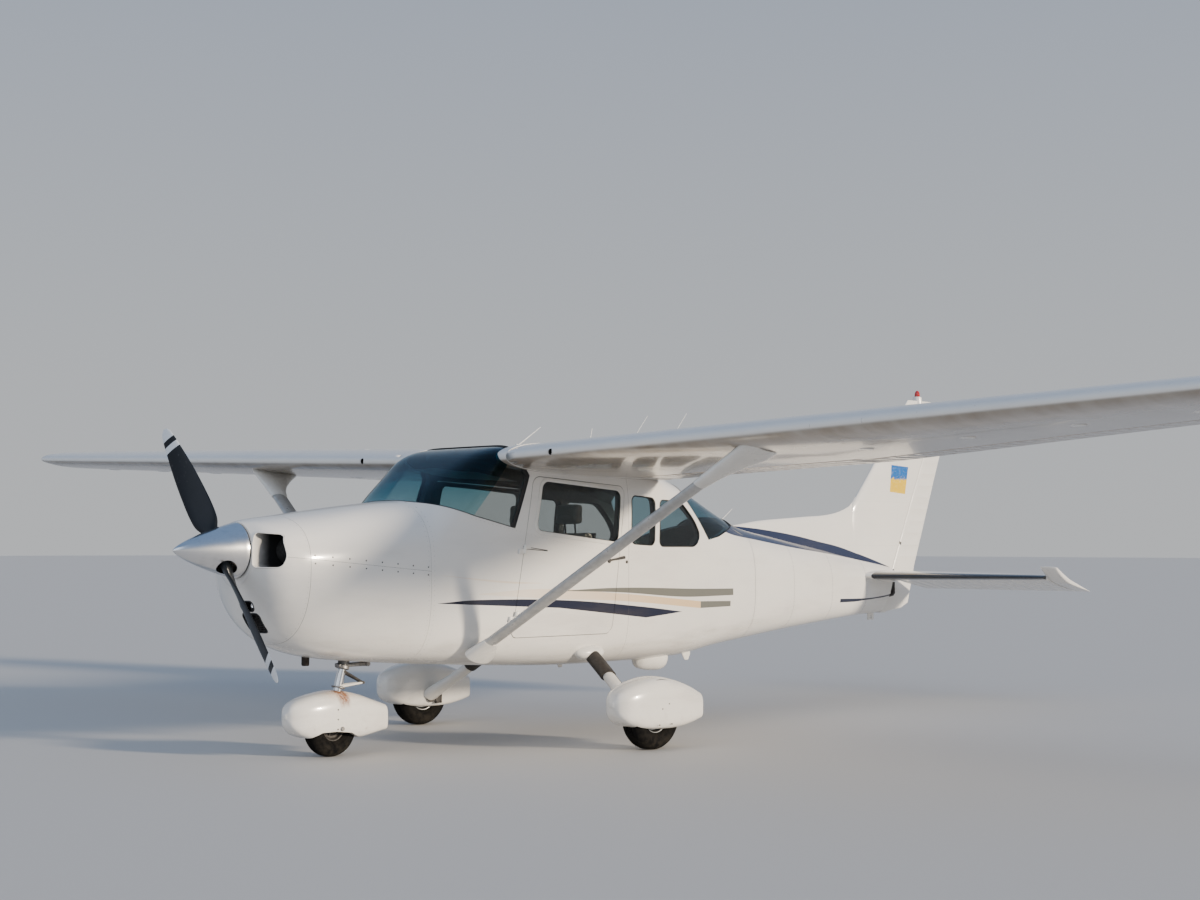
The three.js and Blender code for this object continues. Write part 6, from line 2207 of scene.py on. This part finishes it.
def add_gear():
    for name, side in SIDES.items():
        wheel_body = f"main_wheel_{name}"
        fixed(main_leg(name, side), "dark_steel", f"main_leg_{name}")
        fixed(leg_sleeve(f"leg_cuff_{name}", side, CUFF_INNER, 1050, 1.28, 6), "fairing")
        fixed(leg_sleeve(f"leg_boot_{name}", side, 490, CUFF_INNER + 6, 1.2, 11), "leg_boot")
        fixed(leg_bulge(name, side), "white")
        fixed(brake(name, side), "dark_steel")
        fixed(pant(f"main_pant_{name}_skin", MAIN_PANT_ROWS, MAIN_WHEEL, side, 12), "fairing",
              f"main_pant_{name}")
        spots = ((-58, 168), (-30, 270), (34, 300), (60, 168))
        fixed(pant_studs(f"main_pant_studs_{name}", MAIN_WHEEL, side, 135.5, spots), "dark_steel")
        place(tyre(f"main_tyre_{name}_tread", MAIN_WHEEL, side), wheel_body, "rubber", f"main_tyre_{name}")
        place(hub(f"main_hub_{name}_disc", MAIN_WHEEL, side, 18.5), wheel_body, "hub", f"main_hub_{name}")
        place(brake_disc(name, side), wheel_body, "chrome")
    fixed(nose_leg(), "steel", "nose_strut")
    place(fork(), "nose_fork", "steel", "nose_fork")
    place(piston(), "nose_fork", "chrome", slot="gear_steel")
    place(torque_arm("torque_low", 262, 9, 7, 24), "nose_fork", "white")
    place(torque_arm("torque_high", 357, 8, 7, 22), "nose_fork", "dark_steel")
    place(torque_pin(), "nose_fork", "dark_steel")
    place(pant("nose_pant_skin", NOSE_PANT_ROWS, NOSE_WHEEL, 0, 10, NOSE_PANT_ARCH), "nose_fork",
          "nose_fairing", "nose_pant")
    spots = ((-33, 300), (-33, 240), (-33, 178))
    place(pant_studs("nose_pant_studs", NOSE_WHEEL, 0, 127, spots), "nose_fork", "dark_steel")
    place(tyre("nose_tyre_tread", NOSE_WHEEL, 0), "nose_wheel", "rubber", "nose_tyre")
    # Painted shade: the nose hub takes the dark steel finish for the shadow under its fairing
    place(hub("nose_hub_disc", NOSE_WHEEL, 0, 14.5), "nose_wheel", "dark_steel", "nose_hub", slot="hub_metal")


SKIN = body_skin("master_skin", SKIN_OUT)
add_nose(SKIN)
add_cabin(SKIN)
drop(SKIN)
add_furniture()
add_wings()
add_tail()
add_gear()
LINED = {"cabin_shell": "lining", "door_left": "lining", "door_right": "lining", "engine_block": "iron"}
for part, finish in LINED.items():
    for slot in bpy.data.objects[part].material_slots:
        slot.material = FINISH[finish][0]


# Floor, light and camera
def floor():
    piece = add("floor", bpy.ops.mesh.primitive_plane_add, size=400)
    material = bpy.data.materials.new("floor")
    material.use_nodes = True
    shader = material.node_tree.nodes["Principled BSDF"]
    feed(shader, {"Base Color": (0.56, 0.545, 0.52, 1), "Roughness": 0.7})
    piece.data.materials.append(material)


def aimed(thing, place, target):
    thing.location = place
    thing.rotation_euler = (Vector(target) - Vector(place)).to_track_quat("-Z", "Y").to_euler()


def far_light(name, place, energy, width, colour):
    bpy.ops.object.light_add(type="SUN")
    light = bpy.context.object
    light.name = name
    light.data.energy = energy
    light.data.angle = math.radians(width)
    light.data.color = colour
    aimed(light, place, (0, 0, 1))


def lights():
    world = bpy.context.scene.world or bpy.data.worlds.new("studio")
    bpy.context.scene.world = world
    world.use_nodes = True
    tree = world.node_tree
    height = parts_of(tree.nodes.new("ShaderNodeTexCoord").outputs["Generated"])["Z"]
    sky = mixed(rise(height, -0.05, 0.75), (0.86, 0.88, 0.9, 1), (0.28, 0.44, 0.74, 1))
    feed(tree.nodes["Background"], {"Color": sky, "Strength": 0.66})
    far_light("key", (-6.5, 19, 5.2), 5.4, 5, (1, 0.86, 0.68))
    far_light("fill", (13, 4, 10), 0.9, 70, (0.9, 0.94, 1))


CAMERA_PLACE = (9.954, 9.064, 1.319)
CAMERA_YAW = math.radians(223.91)
CAMERA_PITCH = math.radians(3.08)
CAMERA_ROLL = -0.0017
CAMERA_LENS = 53.66


def camera():
    bpy.ops.object.camera_add(location=CAMERA_PLACE)
    view = bpy.context.object
    view.data.lens = CAMERA_LENS
    view.data.sensor_width = 36
    level = math.cos(CAMERA_PITCH)
    look = Vector((level * math.cos(CAMERA_YAW), level * math.sin(CAMERA_YAW), math.sin(CAMERA_PITCH)))
    turn = look.to_track_quat("-Z", "Y")
    turn.rotate(Quaternion(look, CAMERA_ROLL))
    view.rotation_mode = "QUATERNION"
    view.rotation_quaternion = turn
    view.data.clip_end = 500
    bpy.context.scene.camera = view


floor()
lights()
camera()
